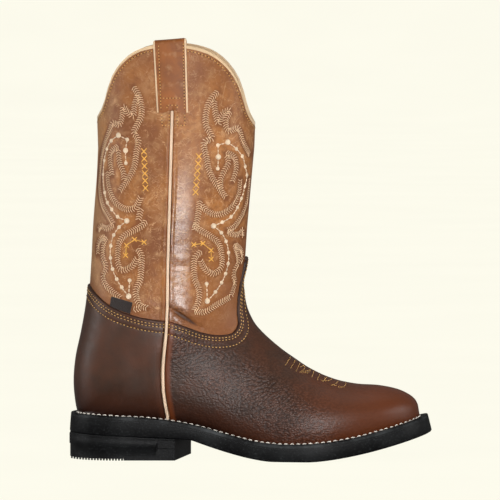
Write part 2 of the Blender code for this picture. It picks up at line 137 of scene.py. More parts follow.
# station, height: the top face of the welt, which the upper stands on
WELT_LINE = (
    (-150, 37.8),
    (-110, 36.2),
    (-75, 34.0),
    (-45, 28.9),
    (-16, 21.0),
    (5, 16.2),
    (28, 14.2),
    (53, 15.0),
    (80, 18.5),
    (108, 24.8),
    (135, 32.3),
    (150, 37.4),
)

# seat_x: where the section meets the welt; ridge_x, ridge_z: its point on the instep line; half: its
# widest half width; belly: depth of that widest place, 0 ridge to 1 seat; top, low: roundness above and
# below it; lean: shift of the ridge to the medial side
FOOT_SECTIONS = (
    (138.0, 136.6, 42.5, 0.0, 0.60, 2.0, 2.4, 0.0),
    (136.2, 134.6, 46.3, 10.4, 0.60, 2.0, 2.4, 0.0),
    (131.0, 130.3, 50.0, 18.8, 0.61, 2.0, 2.4, 0.3),
    (122.0, 121.5, 54.2, 27.2, 0.63, 2.0, 2.4, 0.8),
    (106.0, 105.5, 57.6, 36.4, 0.66, 2.0, 2.4, 1.5),
    (86.0, 86.5, 59.0, 42.8, 0.68, 2.0, 2.4, 2.4),
    (64.0, 68.0, 63.2, 45.2, 0.69, 1.95, 2.4, 3.4),
    (40.0, 50.0, 71.2, 43.4, 0.69, 1.9, 2.4, 4.4),
    (14.0, 33.0, 82.3, 38.0, 0.68, 1.85, 2.4, 5.0),
    (-16.0, 18.5, 93.2, 35.0, 0.66, 1.85, 2.3, 5.0),
    (-50.0, 5.6, 105.3, 36.0, 0.62, 1.9, 2.3, 4.4),
    (-90.0, -2.2, 117.5, 38.2, 0.55, 1.9, 2.4, 3.2),
    (-122.0, -6.2, 131.0, 40.4, 0.50, 1.95, 2.5, 2.0),
    (-136.0, -7.2, 141.0, 41.6, 0.47, 2.0, 2.5, 1.2),
    (-141.4, -7.2, 147.0, 42.0, 0.46, 2.0, 2.5, 0.8),
)

# back_x, back_z and front_x, front_z: the section's two ends; half: its half width; the rest as above
LEG_SECTIONS = (
    (-144.6, 60.0, -5.8, 154.0, 42.6, 0.46, 2.0, 2.5, 0.5),
    (-143.2, 82.0, -4.8, 162.0, 43.2, 0.47, 2.0, 2.5, 0.3),
    (-138.4, 105.0, -4.2, 170.0, 44.2, 0.48, 2.0, 2.4, 0.2),
    (-134.2, 130.0, -3.6, 179.0, 45.6, 0.49, 2.05, 2.3, 0.1),
    (-132.0, 158.0, -2.8, 191.0, 47.6, 0.50, 2.1, 2.2, 0.0),
    (-130.0, 195.0, -1.2, 209.0, 50.2, 0.50, 2.15, 2.2, 0.0),
    (-127.2, 231.0, 1.0, 234.0, 52.4, 0.50, 2.2, 2.2, 0.0),
    (-126.0, 256.0, 3.0, 256.0, 53.4, 0.50, 2.2, 2.2, 0.0),
)

# x, z in the side view: the vamp's top edge from the side seam to the tongue peak
VAMP_EDGE = (
    (-70.0, 115.9),
    (-66.4, 115.1),
    (-53.2, 110.8),
    (-39.2, 105.4),
    (-21.8, 103.0),
    (-14.4, 104.6),
    (-10.9, 109.8),
    (-11.2, 121.2),
    (-10.6, 132.6),
    (-9.0, 143.7),
    (-7.0, 152.5),
    (-5.6, 160.5),
    (-4.4, 167.0),
)

# x, z in the side view: the counter's top edge from the side seam to the back of the heel
COUNTER_EDGE = (
    (-62.0, 115.4),
    (-68.0, 115.6),
    (-74.6, 115.9),
    (-95.3, 119.8),
    (-113.5, 126.9),
    (-127.5, 137.7),
    (-134.2, 145.0),
    (-140.0, 151.0),
)

# x, z in the side view: the side seam, from above the collar to the welt; its second point is the
# piping's top
SEAM_LINE = (
    (-60.9, 350.0),
    (-62.9, 287.7),
    (-64.6, 231.6),
    (-66.7, 165.5),
    (-68.4, 107.7),
    (-71.3, 73.9),
    (-71.1, 59.9),
    (-67.2, 33.0),
)

# Deepest that troughs go, so that the lining stays covered
CREASE_FLOOR = 1.1

# Ends of a crease's fade, as shares of its length, and the power of the fade between
CREASE_ENDS = (0.08, 0.92)
CREASE_FADE_POWER = 0.7

# Lines along a deep trough, as shares of its width, where the mesh is cut to follow it
TROUGH_LINES = (-1.2, -0.6, 0.0, 0.6, 1.2)
TROUGH_REACH = 3.0

# x0, z0, x1, z1: a crease's ends in the side view; width: half width of its soft profile; height: how far
# it lifts the leather, below 0 for a trough; side: -1 lateral, 1 medial, 0 both
CREASES = (
    (-66.0, 126.5, -40.0, 109.0, 1.9, -2.6, 0),
    (-61.0, 132.0, -36.0, 114.5, 4.2, 1.0, 0),
    (-66.0, 120.5, -50.0, 110.5, 2.4, 0.6, 0),
    (-63.0, 162.0, -47.0, 159.5, 1.8, -0.4, -1),
    (-62.5, 167.5, -48.0, 166.0, 2.8, 0.15, -1),
    (-62.5, 177.0, -50.0, 179.5, 1.8, -0.15, -1),
    (-64.0, 146.0, -49.0, 141.5, 2.0, -0.15, -1),
    (-63.5, 136.5, -50.0, 133.0, 2.2, -0.12, -1),
    (-62.0, 197.0, -51.0, 194.0, 1.8, -0.15, -1),
    (-62.0, 214.0, -52.0, 216.0, 2.0, -0.12, -1),
    (-30.0, 150.0, -12.0, 144.0, 5.0, -0.7, 0),
    (-122.0, 168.0, -98.0, 160.0, 6.0, -0.7, 0),
    (-100.0, 132.0, -76.0, 127.0, 4.0, 0.7, 0),
    (2.0, 96.0, -16.0, 70.0, 5.0, -0.6, 0),
    (24.0, 84.0, 8.0, 52.0, 4.0, -0.45, 0),
    (44.0, 72.0, 32.0, 46.0, 3.6, -0.4, 0),
    (58.0, 64.0, 48.0, 42.0, 3.2, -0.35, 0),
    (34.0, 77.0, 20.0, 50.0, 4.0, 0.35, 0),
    (-96.0, 104.0, -92.0, 52.0, 9.0, -0.6, 0),
    (-76.5, 108.0, -78.0, 44.0, 3.0, 0.5, 0),
)

SIDES = (("lateral", LATERAL), ("medial", MEDIAL))

# Leather: how edges fold, how far rows sink in, and what lies over what
SNAP = 0.12
ROLL_SHARES = (0.12, 0.4, 1.0)
FURROW_DEPTH = 0.22
FURROW_WIDTH = 0.7
SEAM_CLEARANCE = 1.5
PANEL_UNDERLAP = 9.0
PANEL_LIFT = 0.1
LINING_GAP = 0.15
COLLAR_TRIM = 2.4
COLLAR_ROW = 1.9
COLLAR_ROLL = 0.8
# distances from the collar's edge over which the lining draws back behind the shaft
LIP_SPAN = (2.2, 3.0)
# how far from the vamp's (1) or counter's (-1) top edge each seam row runs
PANEL_ROWS = {1: (2.6, 4.7, 10.4), -1: (3.2, 5.3, 9.8)}
# rows each way from the heel where the grid is calmed, how often, and how far each time
HEEL_CALM_REACH = 26
HEEL_CALM_ROUNDS = 60
HEEL_CALM_SHARE = 0.5

# Side seam: distances at which the folded strips begin and end, their height and the furrow between
SEAM_LEVELS = (0.9, 1.5, 2.0, 4.2, 4.8)
STRIP_HEIGHT = 0.5
STRIP_TROUGH = 0.6
STRIP_FADE = (286.5, 300.0)
PIPING_SIDES = 10
PIPING_STEP = 2.0
PIPING_SEAT = 0.75
PIPING_CLIMB = 0.4
PIPING_RAMP = (112.0, 118.0)

# Shaft polish ahead of the side seams: spans over which it comes and goes, across and upwards
POLISH_START = (0.5, 2.0)
POLISH_END = (11.0, 22.0)
POLISH_FOOT = (104.0, 118.0)
POLISH_HEAD = (195.0, 256.0)

# Painted shade on the shaft: its share above the foot panels, with its reach behind and ahead of the seam;
# its shares towards the collar and at the seam, with the span there; its share under the bands, with the
# span past their edge; its share of a crease's depth
PAINTED_SHADE_AT_FOOT = (0.85, 10.0, 36.0)
PAINTED_SHADE_AT_COLLAR = (0.4, 255.0, 335.0)
PAINTED_SHADE_AT_SEAM = (0.55, 1.0, 3.0)
PAINTED_SHADE_AT_BAND = 0.95
PAINTED_SHADE_BAND_EDGE = (-0.4, 0.8)
PAINTED_SHADE_IN_CREASE = 0.8

# Foot panels: strength of their grain, and of the red in their folds beside the seam
VAMP_PEBBLE = 0.7
COUNTER_PEBBLE = 0.08
VAMP_FOLD = 0.6
COUNTER_FOLD = 0.12
# side view ends of the vamp's shiny band, where its grain tops take a painted highlight, and how far it
# reaches to both sides
SHEEN_LINE = ((-58.0, 92.0), (50.0, 27.0))
SHEEN_REACH = 18.0
# how far the vamp's peak stands off the shaft, and the heights over which it comes away
TONGUE_CURL = 0.8
TONGUE_SPAN = (146.0, 163.0)

# Pull straps: shape of the band, its arched lower edge and its mesh
STRAP_PROBE_DROP = 4.0
STRAP_COLUMNS = 15
STRAP_EDGE = 0.05
STRAP_EDGE_SHARE = 0.6
STRAP_LEG_ROWS = 22
STRAP_FOLD_ROWS = 9
STRAP_FOOT_CENTRE = -62.7
STRAP_HEAD_CENTRE = -65.0
STRAP_FOOT_WIDTH = 25.3
STRAP_HEAD_WIDTH = 27.0
STRAP_ARCH = 2.6
STRAP_ARCH_WIDTH = 0.16
STRAP_TILT = 0.08
STRAP_SHIFTS = {LATERAL: 0.0, MEDIAL: -3.0}

# Sole profiles, as pairs of inset and height, or of inset and share of the height for the heel
INSOLE_INSET = 3.2
INSOLE_PROFILE = ((0.0, 0.15), (0.0, 0.7), (0.7, 1.2))
SOLE_SEAM = 0.05
WELT_FURROW = 0.5
WELT_SEAM_OUT = 1.7
WELT_RIM = ((JOINT_LEAN, -WELT_THICKNESS), (1.2, -2.7), (1.35, -0.9), (1.6, -0.25), (2.2, 0.0))
# extra lean of the sole's edge at the toe, and the stations over which it comes
TOE_LEAN = (1.6, 95.0, 150.0)
WELT_LEDGE = (
    (-3.4, 0.0),
    (-2.9, -WELT_FURROW),
    (-0.9, -WELT_FURROW),
    (0.4, 0.0),
    (3.0, 0.0),
    (3.0, -WELT_THICKNESS),
)
# first row of the welt's faces that is dusty, and the first that is clean again
WELT_WORN_ROWS = (1, 5)
TREAD_BORDER = ((0.3, 1.2), (0.9, 0.3), (1.9, 0.0), (6.6, 0.0), (7.4, 1.2))
HEEL_STATIONS = 120
HEEL_SIDE = ((0.6, 0.0), (0.6, 0.05), (0.6, 0.5), (0.0, 0.53), (0.0, 0.92), (0.6, 0.95), (0.6, 1.0))
HEEL_RIB_DEPTH = 1.4
# start, stop and pitch along X; width of a bar, inset of its ends and height; how far a tooth reaches in,
# where bars are left out between the two edges
FOREFOOT_BARS = (-8.0, 118.0, 8.2, 4.6, 6.0, 1.3, None)
HEEL_TEETH = (-147.5, -104.0, 2.5, 1.4, 0.3, 1.6, 4.0)

# Stitches: rings of a stitch as place along it, radius share and height share
STITCH_SHAPE = ((-1.0, 0.45, -0.7), (-0.7, 0.9, 0.3), (0.0, 1.0, 0.75), (0.7, 0.9, 0.3), (1.0, 0.45, -0.7))
STITCH_SIDES = 6
# dark pits of painted shade that stand for the needle holes: depth, length and thickness share
HOLE_DEPTH = 0.45
HOLE_LENGTH = 0.9
HOLE_SHARE = 1.5
STRAP_ROW_SHARE = 0.85

# Angles, in degrees, from which an edge stays sharp, and tolerances
SHARP_ANGLE = 50.0
STRAP_SHARP_ANGLE = 40.0
WELD = 1e-6
WELD_DIGITS = 3
TINY = 1e-9
LEVEL_TOLERANCE = 1e-6

# Paths on the leather: where rays start, how often normals are calmed, and steps along the paths
RAY_START = 200.0
NORMAL_ROUNDS = 6
ROUTE_STEP = 0.7
SEAM_STEP = 4.0
PANEL_EDGE_STEP = 1.5

# Embroidery: slant, length and size of its stitches; threads are shares of the sewing thread
BAND_SLANT = 0.5
BAND_BAR = 0.62
BAND_THREAD = 0.88
DOT_SIDES = 10
DOT_PROFILE = ((1.0, -0.2), (0.95, 0.25), (0.7, 0.5), (0.25, 0.45))
DOT_RADIUS = 1.7
LARGE_DOT_RADIUS = 2.4
CHAIN_PITCH = 3.0
CHAIN_STITCH = 2.9
CHAIN_THREAD = 1.4
CROSS_HALF = (3.1, 3.4)
CROSS_THREAD = 1.4
TOE_PITCH = 1.6
TOE_STITCH = 1.5
TOE_THREAD = 0.55

# Side tag: its mesh, and how it stands off the shaft
TAG_ROWS = 8
TAG_COLUMNS = 12
TAG_LIFT = 0.5
TAG_BOW = 0.4
TAG_THICKNESS = 0.4

# Looks: screen white and gamma, then where the leathers change tone, along the boot or upwards in metres
SCREEN_WHITE = 255
SCREEN_GAMMA = 2.2
# painted sheen in the polished strip fades out over these heights
PAINTED_SHEEN_FADE = (0.15, 0.185)
# painted light: the shaft paler towards its back edge over these stations
PAINTED_BACK_LIGHT = (-0.125, -0.112)
RED_TOE = (0.03, 0.11)
# painted shade near the welt: full behind the first station, weaker past the second
PAINTED_SHADE_WAIST = (-0.03, 0.05)

# Millimetres above the welt, from a panel's edge and from its seam over which the foot leather changes
RED_HEIGHT = (4.0, 22.0)
# painted shade near the welt fades out over these heights
PAINTED_SHADE_HEIGHT = (2.0, 34.0)
DARK_EDGE = (0.4, 1.6)
SEAM_FOLD = (3.4, 5.8)

# Hair lines as scale and width, and how much finer the patches are in which they show
HAIR_LINES = ((34.0, 0.01), (62.0, 0.014), (115.0, 0.02))
HAIR_PATCH = 1.7

# Painted shade that turns almost black in the deep creases; shares of a tone in its darker places, and in
# the tag's painted rib highlight; how worn the rubbers are
DEEP_PAINTED_SHADE = (0.9, 1.5)
DEEP_SHADE = 0.3
NAP_SHADE = 0.72
THREAD_SHADE = 0.62
TAG_LIGHT = 1.8
SOLE_WEAR = 0.15
WELT_WEAR = 0.25
RIM_WEAR = 0.8

# Scale of the threads' twist, and of the tag's ribs along two axes
ROW_TWIST = 1800.0
BAND_TWIST = 1500.0
WELT_TWIST = 1200.0
TAG_RIBS = (("X", 9000.0), ("Z", 12000.0))

# Charts: where the picture's middle column and horizon lie, and millimetres to one of its pixels
PICTURE_MIDDLE = 249.5
PICTURE_HORIZON = -49.0
CHART_SCALE = 0.8227
TOE_CHART_SCALE = 0.8277
EYE_HEIGHT = 420.0

# Embroidered bands of the lateral side, charted in pixels
BAND_ROUTES = (
    ((134, 88), (138.5, 95), (142, 106), (142, 117), (138, 126), (134.5, 133), (139, 140.5),
     (137, 153), (135.5, 165), (130, 178), (120, 192)),
    ((139, 96), (136, 104), (132.7, 117), (128.5, 113.5), (124, 108), (122.5, 118), (119.5, 126),
     (113, 124.5), (110.5, 130), (107, 138.5), (102.5, 152), (99.8, 170), (99, 189), (102, 206),
     (113.5, 225)),
    ((118.7, 147.3), (111, 153.7), (110.4, 164), (112.3, 176.7)),
    ((118.7, 150.5), (120, 164), (124, 174), (124.6, 181)),
    ((107.2, 172.9), (108.5, 186.9), (114.8, 202.2), (126.3, 209.8), (135.3, 208.6), (141.6, 197)),
    ((141.6, 208.6), (139, 221)),
    ((146.9, 221.1), (141, 227.4), (132.9, 231.8), (124.5, 236.6), (119.2, 244.3), (118, 254),
     (118, 263.2), (121.3, 270.6), (127.3, 269.8), (133.6, 265.3), (138, 258.3)),
    ((137.8, 249), (141.6, 255.5), (141.6, 268.3), (140.4, 281), (136.5, 290), (137.8, 301.4),
     (141, 306), (147.6, 308.8)),
    ((133.6, 310.2), (141, 308.4)),
    ((113.9, 225.3), (110, 228.5), (105.5, 229.8), (101, 227.8), (97.8, 231.5)),
    ((106.4, 238), (103.8, 244.5), (102.2, 254), (103, 260.5), (105.6, 266.5), (105.4, 271.5),
     (102.8, 276.5), (104.1, 284), (108.6, 289.5), (113.5, 293.6), (121, 299)),
    ((105.4, 238.4), (100.6, 240.4), (97.6, 246), (97.4, 256)),
    ((218.2, 92.5), (210.5, 101.4), (206.7, 113), (206.7, 127), (211.8, 139.7), (205.4, 142.2),
     (206.7, 157.6), (210.5, 174), (217, 185.6), (225.8, 198.4)),
    ((214.3, 101.4), (215.6, 113), (218.8, 124.4), (224.5, 113), (229.6, 111.6), (225.8, 121.8),
     (228.4, 132), (237.3, 129.5), (242.4, 142.2), (248.8, 156.3)),
    ((225.8, 153.7), (233.5, 157.6), (236, 169), (232.2, 183)),
    ((227, 156), (228, 164.4), (223.4, 173.4), (220.4, 181.4), (221, 189.4)),
    ((201.6, 206), (210.5, 213.7), (220.7, 215), (232.2, 207.3), (238.6, 194.5), (239.8, 180.5)),
    ((200.3, 201), (197.8, 218.8), (195, 231)),
    ((193.4, 224.4), (200, 230.4), (208.6, 235.6), (217, 242.4), (221.4, 255.5), (219.4, 270.8),
     (213, 274.6), (204, 268.3), (200.3, 260.6)),
    ((201.6, 251.7), (195.2, 258), (194, 268.3), (195.2, 281), (199, 291.2), (197.8, 304),
     (194, 311.6)),
    ((194, 311.6), (204.1, 312.9), (215.6, 306.5), (229.6, 298.9)),
    ((233.8, 245.3), (236.6, 256), (237.4, 265), (233.8, 272.4), (233, 279), (234.4, 284),
     (232.4, 292), (230.5, 298)),
    ((234.8, 246.4), (239.6, 251.4), (241.6, 258), (239.6, 265)),
    ((248.8, 180), (247.4, 195), (244.2, 210), (238.6, 221.6), (232.6, 229), (227, 231.8)),
    ((227, 231.8), (232.7, 236), (238.2, 236), (241.4, 232.4), (242.4, 239)),
)

# Dot chains and their large dots
DOT_CHAINS = (
    ((217.8, 169.3), (218.4, 157.7), (218, 146)),
    ((218, 146), (227.7, 143.2)),
    ((227.7, 143.2), (236, 150), (241.6, 157.6), (244.4, 168), (246, 177), (244, 188), (240.6, 200),
     (236.8, 208.8), (230.5, 218), (222, 223), (213.5, 226.6)),
    ((213.5, 226.6), (221, 233.6), (225.6, 242.5), (228, 254), (227.5, 265), (225, 275), (221, 284),
     (215, 293), (207, 302)),
    ((207, 302), (206.5, 284.6)),
    ((126.6, 164), (126.3, 151.3), (128, 140.5)),
    ((128, 140.5), (119, 136.5)),
    ((119, 136.5), (111.5, 142), (106.9, 150.6), (104.2, 162), (102.9, 176), (104.6, 194),
     (107.5, 204), (112, 210.6), (118, 217.6), (127.4, 221.5)),
    ((127.4, 221.5), (119.5, 228), (114, 236), (111, 247), (110.6, 259), (112.7, 270), (117, 280),
     (122, 288), (129, 297)),
    ((129, 297), (130, 281)),
)
LARGE_DOTS = ((218.4, 157.7), (227.7, 143.2), (213.5, 226.6), (207, 302), (126.3, 151.3), (119, 136.5),
              (127.4, 221.5), (129, 297))

# Cross stitches: columns as first centre, last centre and count, and single ones
CROSS_COLUMNS = (((144.8, 152), (146.2, 188.5), 6), ((199.3, 157), (196, 192.5), 6))
LOOSE_CROSSES = (
    ((126, 256), (127, 246), (135, 240), (144.6, 242.5)),
    ((194, 245), (203, 244), (211, 251), (211, 260)),
)
LOOSE_HALF = (2.6, 2.6)

# Toe stitching
TOE_ROUTES = (
    ((284.2, 365.2), (289.6, 357.4)),
    ((289.6, 367.8), (294.2, 360.6)),
    ((295, 370.8), (298.9, 363.6)),
    ((299.5, 367), (302.6, 366), (303.8, 368), (302, 370), (298.4, 371.8)),
    ((300.6, 372.3), (302.8, 371), (306, 371), (310.2, 369.8)),
    ((302, 372.3), (305.6, 372.6), (308.2, 371.8), (310.4, 370.2)),
    ((310.7, 376.8), (313, 371.8)),
    ((316.1, 379.5), (318.6, 374.6)),
    ((320, 379.3), (322.4, 381.2), (324, 378.6), (326.6, 377.8), (328.6, 377.4)),
    ((323.2, 379), (325, 380.8), (328, 380.6), (331, 379.6), (333.4, 379.4)),
    ((333.2, 379.4), (335.8, 380.2), (336.8, 381.8), (334.6, 383.6), (330.2, 384.8)),
    ((330, 384.2), (331.2, 385.2), (332.2, 383.8), (333.8, 385.2), (335.4, 385)),
    ((336.8, 385.8), (338.6, 386.8), (342.8, 386.6), (344.6, 384.6), (343.8, 382.6), (342.2, 382)),
)

# Strap rows on the band and boxes on the shaft below it
STRAP_ROWS = (
    ((159.5, 46), (162, 110)),
    ((184, 44), (185.3, 110)),
    ((163, 99), (182, 99)),
    ((168, 110), (168, 106), (178, 106), (178, 110)),
)
STRAP_BOXES = (
    ((162.5, 114.5), (163, 126), (170, 126), (170, 114.5)),
    ((178, 114.5), (178, 126), (185.5, 126), (185.5, 114.5)),
)

# Corners of the blank tag: upper left, upper right, lower right and lower left
TAG_CORNERS = ((112, 297.4), (133, 303), (130.4, 314.6), (110, 307.6))

# Stage: camera, softboxes as place, aim, size and power, and the light of the surroundings
CAMERA_PLACE = (0.11, -5.0, 0.42)
CAMERA_AIM = (-0.0006, 0.0, 0.1715)
CAMERA_LENS = 436.5
SOFTBOXES = (
    ("low_softbox", (0.11, -0.8, 0.09), (-0.055, 0.0, 0.19), (0.34, 0.24), 3.0),
    ("key_softbox", (0.5, -2.4, 1.0), (0.0, 0.0, 0.15), (1.2, 1.5), 21.5),
    ("fill_softbox", (-1.7, -2.2, 0.7), (0.0, 0.0, 0.15), (1.2, 1.2), 13.0),
    ("top_softbox", (0.2, 0.4, 2.2), (0.0, 0.0, 0.2), (1.6, 1.6), 4.6),
    ("heel_softbox", (-2.2, -0.2, 0.4), (0.0, 0.0, 0.15), (1.2, 1.2), 14.0),
    ("toe_softbox", (2.2, -0.3, 0.5), (0.0, 0.0, 0.1), (1.2, 1.2), 16.5),
)
SKY_LOW = 0.08
SKY_HIGH = 0.22
FLOOR_REACH = 9.0
FLOOR_DROP = 0.0002
SWEEP = 3.0
SWEEP_ROWS = 24
BACKDROP_TOP = 9.0
FLOOR_SIDES = 96
FLOOR_GLOW = 0.985
FLOOR_SHADE = 0.012
FLOOR_SPECK = (0.985, 1.0)
SKY_COLOUR = (1.0, 0.98, 0.95, 1.0)
BLACK = (0.0, 0.0, 0.0, 1.0)


def curve_through(knots, values, at):
    """Smooth curve through the values at the knots; slopes are central differences."""
    knots = np.asarray(knots, float)
    values = np.asarray(values, float)
    at = np.clip(np.asarray(at, float), knots[0], knots[-1])
    slopes = np.gradient(values, knots, axis=0)
    i = np.clip(np.searchsorted(knots, at, side="right") - 1, 0, len(knots) - 2)
    width = knots[i + 1] - knots[i]
    t = (at - knots[i]) / width
    if values.ndim == 2:
        t = t[..., None]
        width = width[..., None]
    rise = values[i + 1] - values[i]
    bend = (slopes[i] * width - rise) * (1 - t) - (slopes[i + 1] * width - rise) * t
    return values[i] + rise * t + t * (1 - t) * bend


def path_length(points):
    steps = np.linalg.norm(np.diff(points, axis=0), axis=1)
    return np.concatenate(([0.0], np.cumsum(steps)))


def unit(vectors):
    """The vectors made one long; one without a length stays zero."""
    return vectors / np.maximum(np.linalg.norm(vectors, axis=1), TINY)[:, None]


def full_turn(count):
    """Angles of even places round a circle."""
    return np.linspace(0, 2 * np.pi, count, endpoint=False)


def smooth_path(points, step):
    """Points about a step apart on a smooth curve through the given ones."""
    points = np.asarray(points, float)
    knots = path_length(points)
    count = max(int(round(knots[-1] / step)), 1)
    return curve_through(knots, points, np.linspace(0.0, knots[-1], count + 1))


def soft_step(value, start, stop):
    t = np.clip((np.asarray(value, float) - start) / (stop - start), 0, 1)
    return t * t * (3 - 2 * t)


def welt_top(x):
    line = np.array(WELT_LINE, float)
    return curve_through(line[:, 0], line[:, 1], x)


def sole_bottom(x):
    """Flat under the ball, rising to the toe and, through the arch, to the level heel seat."""
    x = np.asarray(x, float)
    toe = TOE_SPRING * np.clip(x - TREAD_FLAT_FRONT, 0, None) ** RISE_POWER
    arch = ARCH_RISE * np.clip(TREAD_FLAT_BACK - x, 0, None) ** RISE_POWER
    return toe + np.minimum(arch, heel_seat(x))


def heel_seat(x):
    back = -SOLE_LENGTH / 2
    share = (x - BREAST_MEDIAL) / (back - BREAST_MEDIAL)
    return HEEL_SEAT_BREAST_HEIGHT + (HEEL_SEAT_BACK_HEIGHT - HEEL_SEAT_BREAST_HEIGHT) * share


def end_rounding(x):
    """Share of the width that the rounded toe and heel ends leave at x."""
    half = SOLE_LENGTH / 2
    toe = np.clip((x - TOE_ROUND_FROM) / (half - TOE_ROUND_FROM), 0, 1)
    heel = np.clip((HEEL_ROUND_FROM - x) / (HEEL_ROUND_FROM + half), 0, 1)
    return (1 - toe ** END_POWER) ** (1 / END_POWER) * (1 - heel ** END_POWER) ** (1 / END_POWER)


def sole_edge(turns, inset):
    """Points of the sole's plan at the given turns, moved inwards; turn 0 is the toe, pi the heel."""
    plan = np.array(SOLE_PLAN, float)

    def at(turn):
        x = SOLE_LENGTH / 2 * np.cos(turn)
        widths = curve_through(plan[:, 0], plan[:, 1:], x)
        middle = (widths[:, 1] - widths[:, 0]) / 2
        half = (widths[:, 1] + widths[:, 0]) / 2
        return np.column_stack((x, middle + np.sign(np.sin(turn)) * half * end_rounding(x)))

    turns = np.asarray(turns, float)
    along = unit(at(turns + TURN_STEP) - at(turns - TURN_STEP))
    inwards = np.column_stack((-along[:, 1], along[:, 0]))
    return at(turns) + inwards * np.broadcast_to(inset, turns.shape)[:, None]


def feather_inset(x):
    share = (x + SOLE_LENGTH / 2) / SOLE_LENGTH
    return FEATHER_INSET_HEEL + (FEATHER_INSET_TOE - FEATHER_INSET_HEEL) * share


def inset_ring(turns, extra):
    """The feather line, where upper and welt meet, moved inwards by extra."""
    return sole_edge(turns, feather_inset(SOLE_LENGTH / 2 * np.cos(turns)) + extra)


def plan_limits(ring_at, x):
    """Lateral and medial y, at x, of a plan ring given as a function of its turns."""
    turns = np.linspace(0, np.pi, FEATHER_SAMPLES)
    medial = ring_at(turns)[::-1]
    lateral = ring_at(2 * np.pi - turns)[::-1]
    return np.interp(x, lateral[:, 0], lateral[:, 1]), np.interp(x, medial[:, 0], medial[:, 1])


def section_widths(share, half, seat_half, belly, top, low):
    """Half widths of a section at the given shares of the way from its ridge to its seat."""
    if half <= 0:
        return np.zeros_like(share)
    above = np.clip(1 - np.abs(1 - share / belly) ** top, 0, 1) ** (1 / top)
    kept = min(seat_half / half, 1.0)
    under = np.clip((share - belly) / (1 - belly), 0, 1) ** low
    below = np.clip(1 - (1 - kept ** low) * under, 0, 1) ** (1 / low)
    return half * np.where(share < belly, above, below)


def row_shares(along):
    """Places of a row's points from ridge to seat; along is 0 at the toe, 1 at the heel and more above."""
    even = np.linspace(0, 1, HALF_AROUND + 1)
    at_ridge = 1 - np.cos(np.pi / 2 * even)
    at_both = (1 - np.cos(np.pi * even)) / 2
    toe = np.clip(1 - along / TOE_EVEN_SPAN, 0, 1)
    from_tip = np.clip((even - toe * even[1]) / (1 - toe * even[1]), 0, 1)
    heel = np.clip((along - HEEL_CLOSE_FROM) / (1 - HEEL_CLOSE_FROM), 0, 1)
    return (1 - heel) * (toe * from_tip + (1 - toe) * at_ridge) + heel * at_both


def upper_rows():
    """The section tables as smooth rows: ridge and seat points, widths and roundness of each."""
    foot = np.array(FOOT_SECTIONS, float)
    leg = np.array(LEG_SECTIONS, float)
    toe, heel = foot[0, 0], foot[-1, 0]
    turn = np.arccos(np.clip((2 * foot[:, 0] - toe - heel) / (toe - heel), -1, 1))
    knots = np.concatenate((turn / np.pi * FOOT_KNOT_SPAN, FOOT_KNOT_SPAN + 1 + np.arange(len(leg))))
    foot_values = np.column_stack((foot[:, 0], welt_top(foot[:, 0]) + FEATHER_RISE, foot[:, 1:]))
    values = np.vstack((foot_values, leg))
    turns = np.linspace(0, np.pi, FOOT_ROWS)
    leg_at = np.linspace(FOOT_KNOT_SPAN, knots[-1], LEG_ROWS + 1)[1:]
    rows = curve_through(knots, values, np.concatenate((turns / np.pi * FOOT_KNOT_SPAN, leg_at)))
    seat_x = (toe + heel) / 2 + (toe - heel) / 2 * np.cos(turns)
    rows[:FOOT_ROWS, 0] = seat_x
    rows[:FOOT_ROWS, 1] = welt_top(seat_x) + FEATHER_RISE
    return rows


def upper_grid():
    """Outer face of the upper as rows from the toe to the collar, each from medial seat to lateral seat."""
    grid = []
    for i, row in enumerate(upper_rows()):
        share = row_shares(i / (FOOT_ROWS - 1))
        seat_x, seat_z, ridge_x, ridge_z, half, belly, top, low, lean = row
        middle, seat_half = 0.0, 0.0
        if i < FOOT_ROWS:
            low_y, high_y = plan_limits(lambda turns: inset_ring(turns, 0.0), seat_x)
            middle, seat_half = (high_y + low_y) / 2, (high_y - low_y) / 2
        if i in (0, FOOT_ROWS - 1):
            seat_half = 0.0
        width = section_widths(share, max(half, seat_half), seat_half, belly, top, low)
        x = ridge_x + (seat_x - ridge_x) * share
        z = ridge_z + (seat_z - ridge_z) * share
        y = middle + lean * (1 - share)
        lateral = np.column_stack((x, y - width, z))
        medial = np.column_stack((x, y + width, z))
        grid.append(np.vstack((medial[:0:-1], lateral)))
    return np.array(grid + collar_rows(grid[-1]))


def collar_height(along):
    """Scalloped collar: along is -1 at the back dip, 0 at the side peaks and 1 at the front dip."""
    dip = (COLLAR_FRONT_DIP + COLLAR_BACK_DIP) / 2 + (COLLAR_FRONT_DIP - COLLAR_BACK_DIP) / 2 * along
    profile = np.array(COLLAR_PROFILE)
    return dip + COLLAR_SCALLOP * curve_through(profile[:, 0], profile[:, 1], np.abs(along))


def collar_rows(last):
    """Rows from the last level section up to the scalloped edge."""
    middle = np.array([(last[:, 0].max() + last[:, 0].min()) / 2, 0.0])
    depth = (last[:, 0].max() - last[:, 0].min()) / 2
    edge = collar_height((last[:, 0] - middle[0]) / depth)
    rows = []
    for share in np.linspace(0, 1, COLLAR_ROWS + 1)[1:]:
        flare = 1 + (COLLAR_FLARE - 1) * share
        plan = middle + (last[:, :2] - middle) * flare
        rows.append(np.column_stack((plan, last[:, 2] + (edge - last[:, 2]) * share)))
    return rows


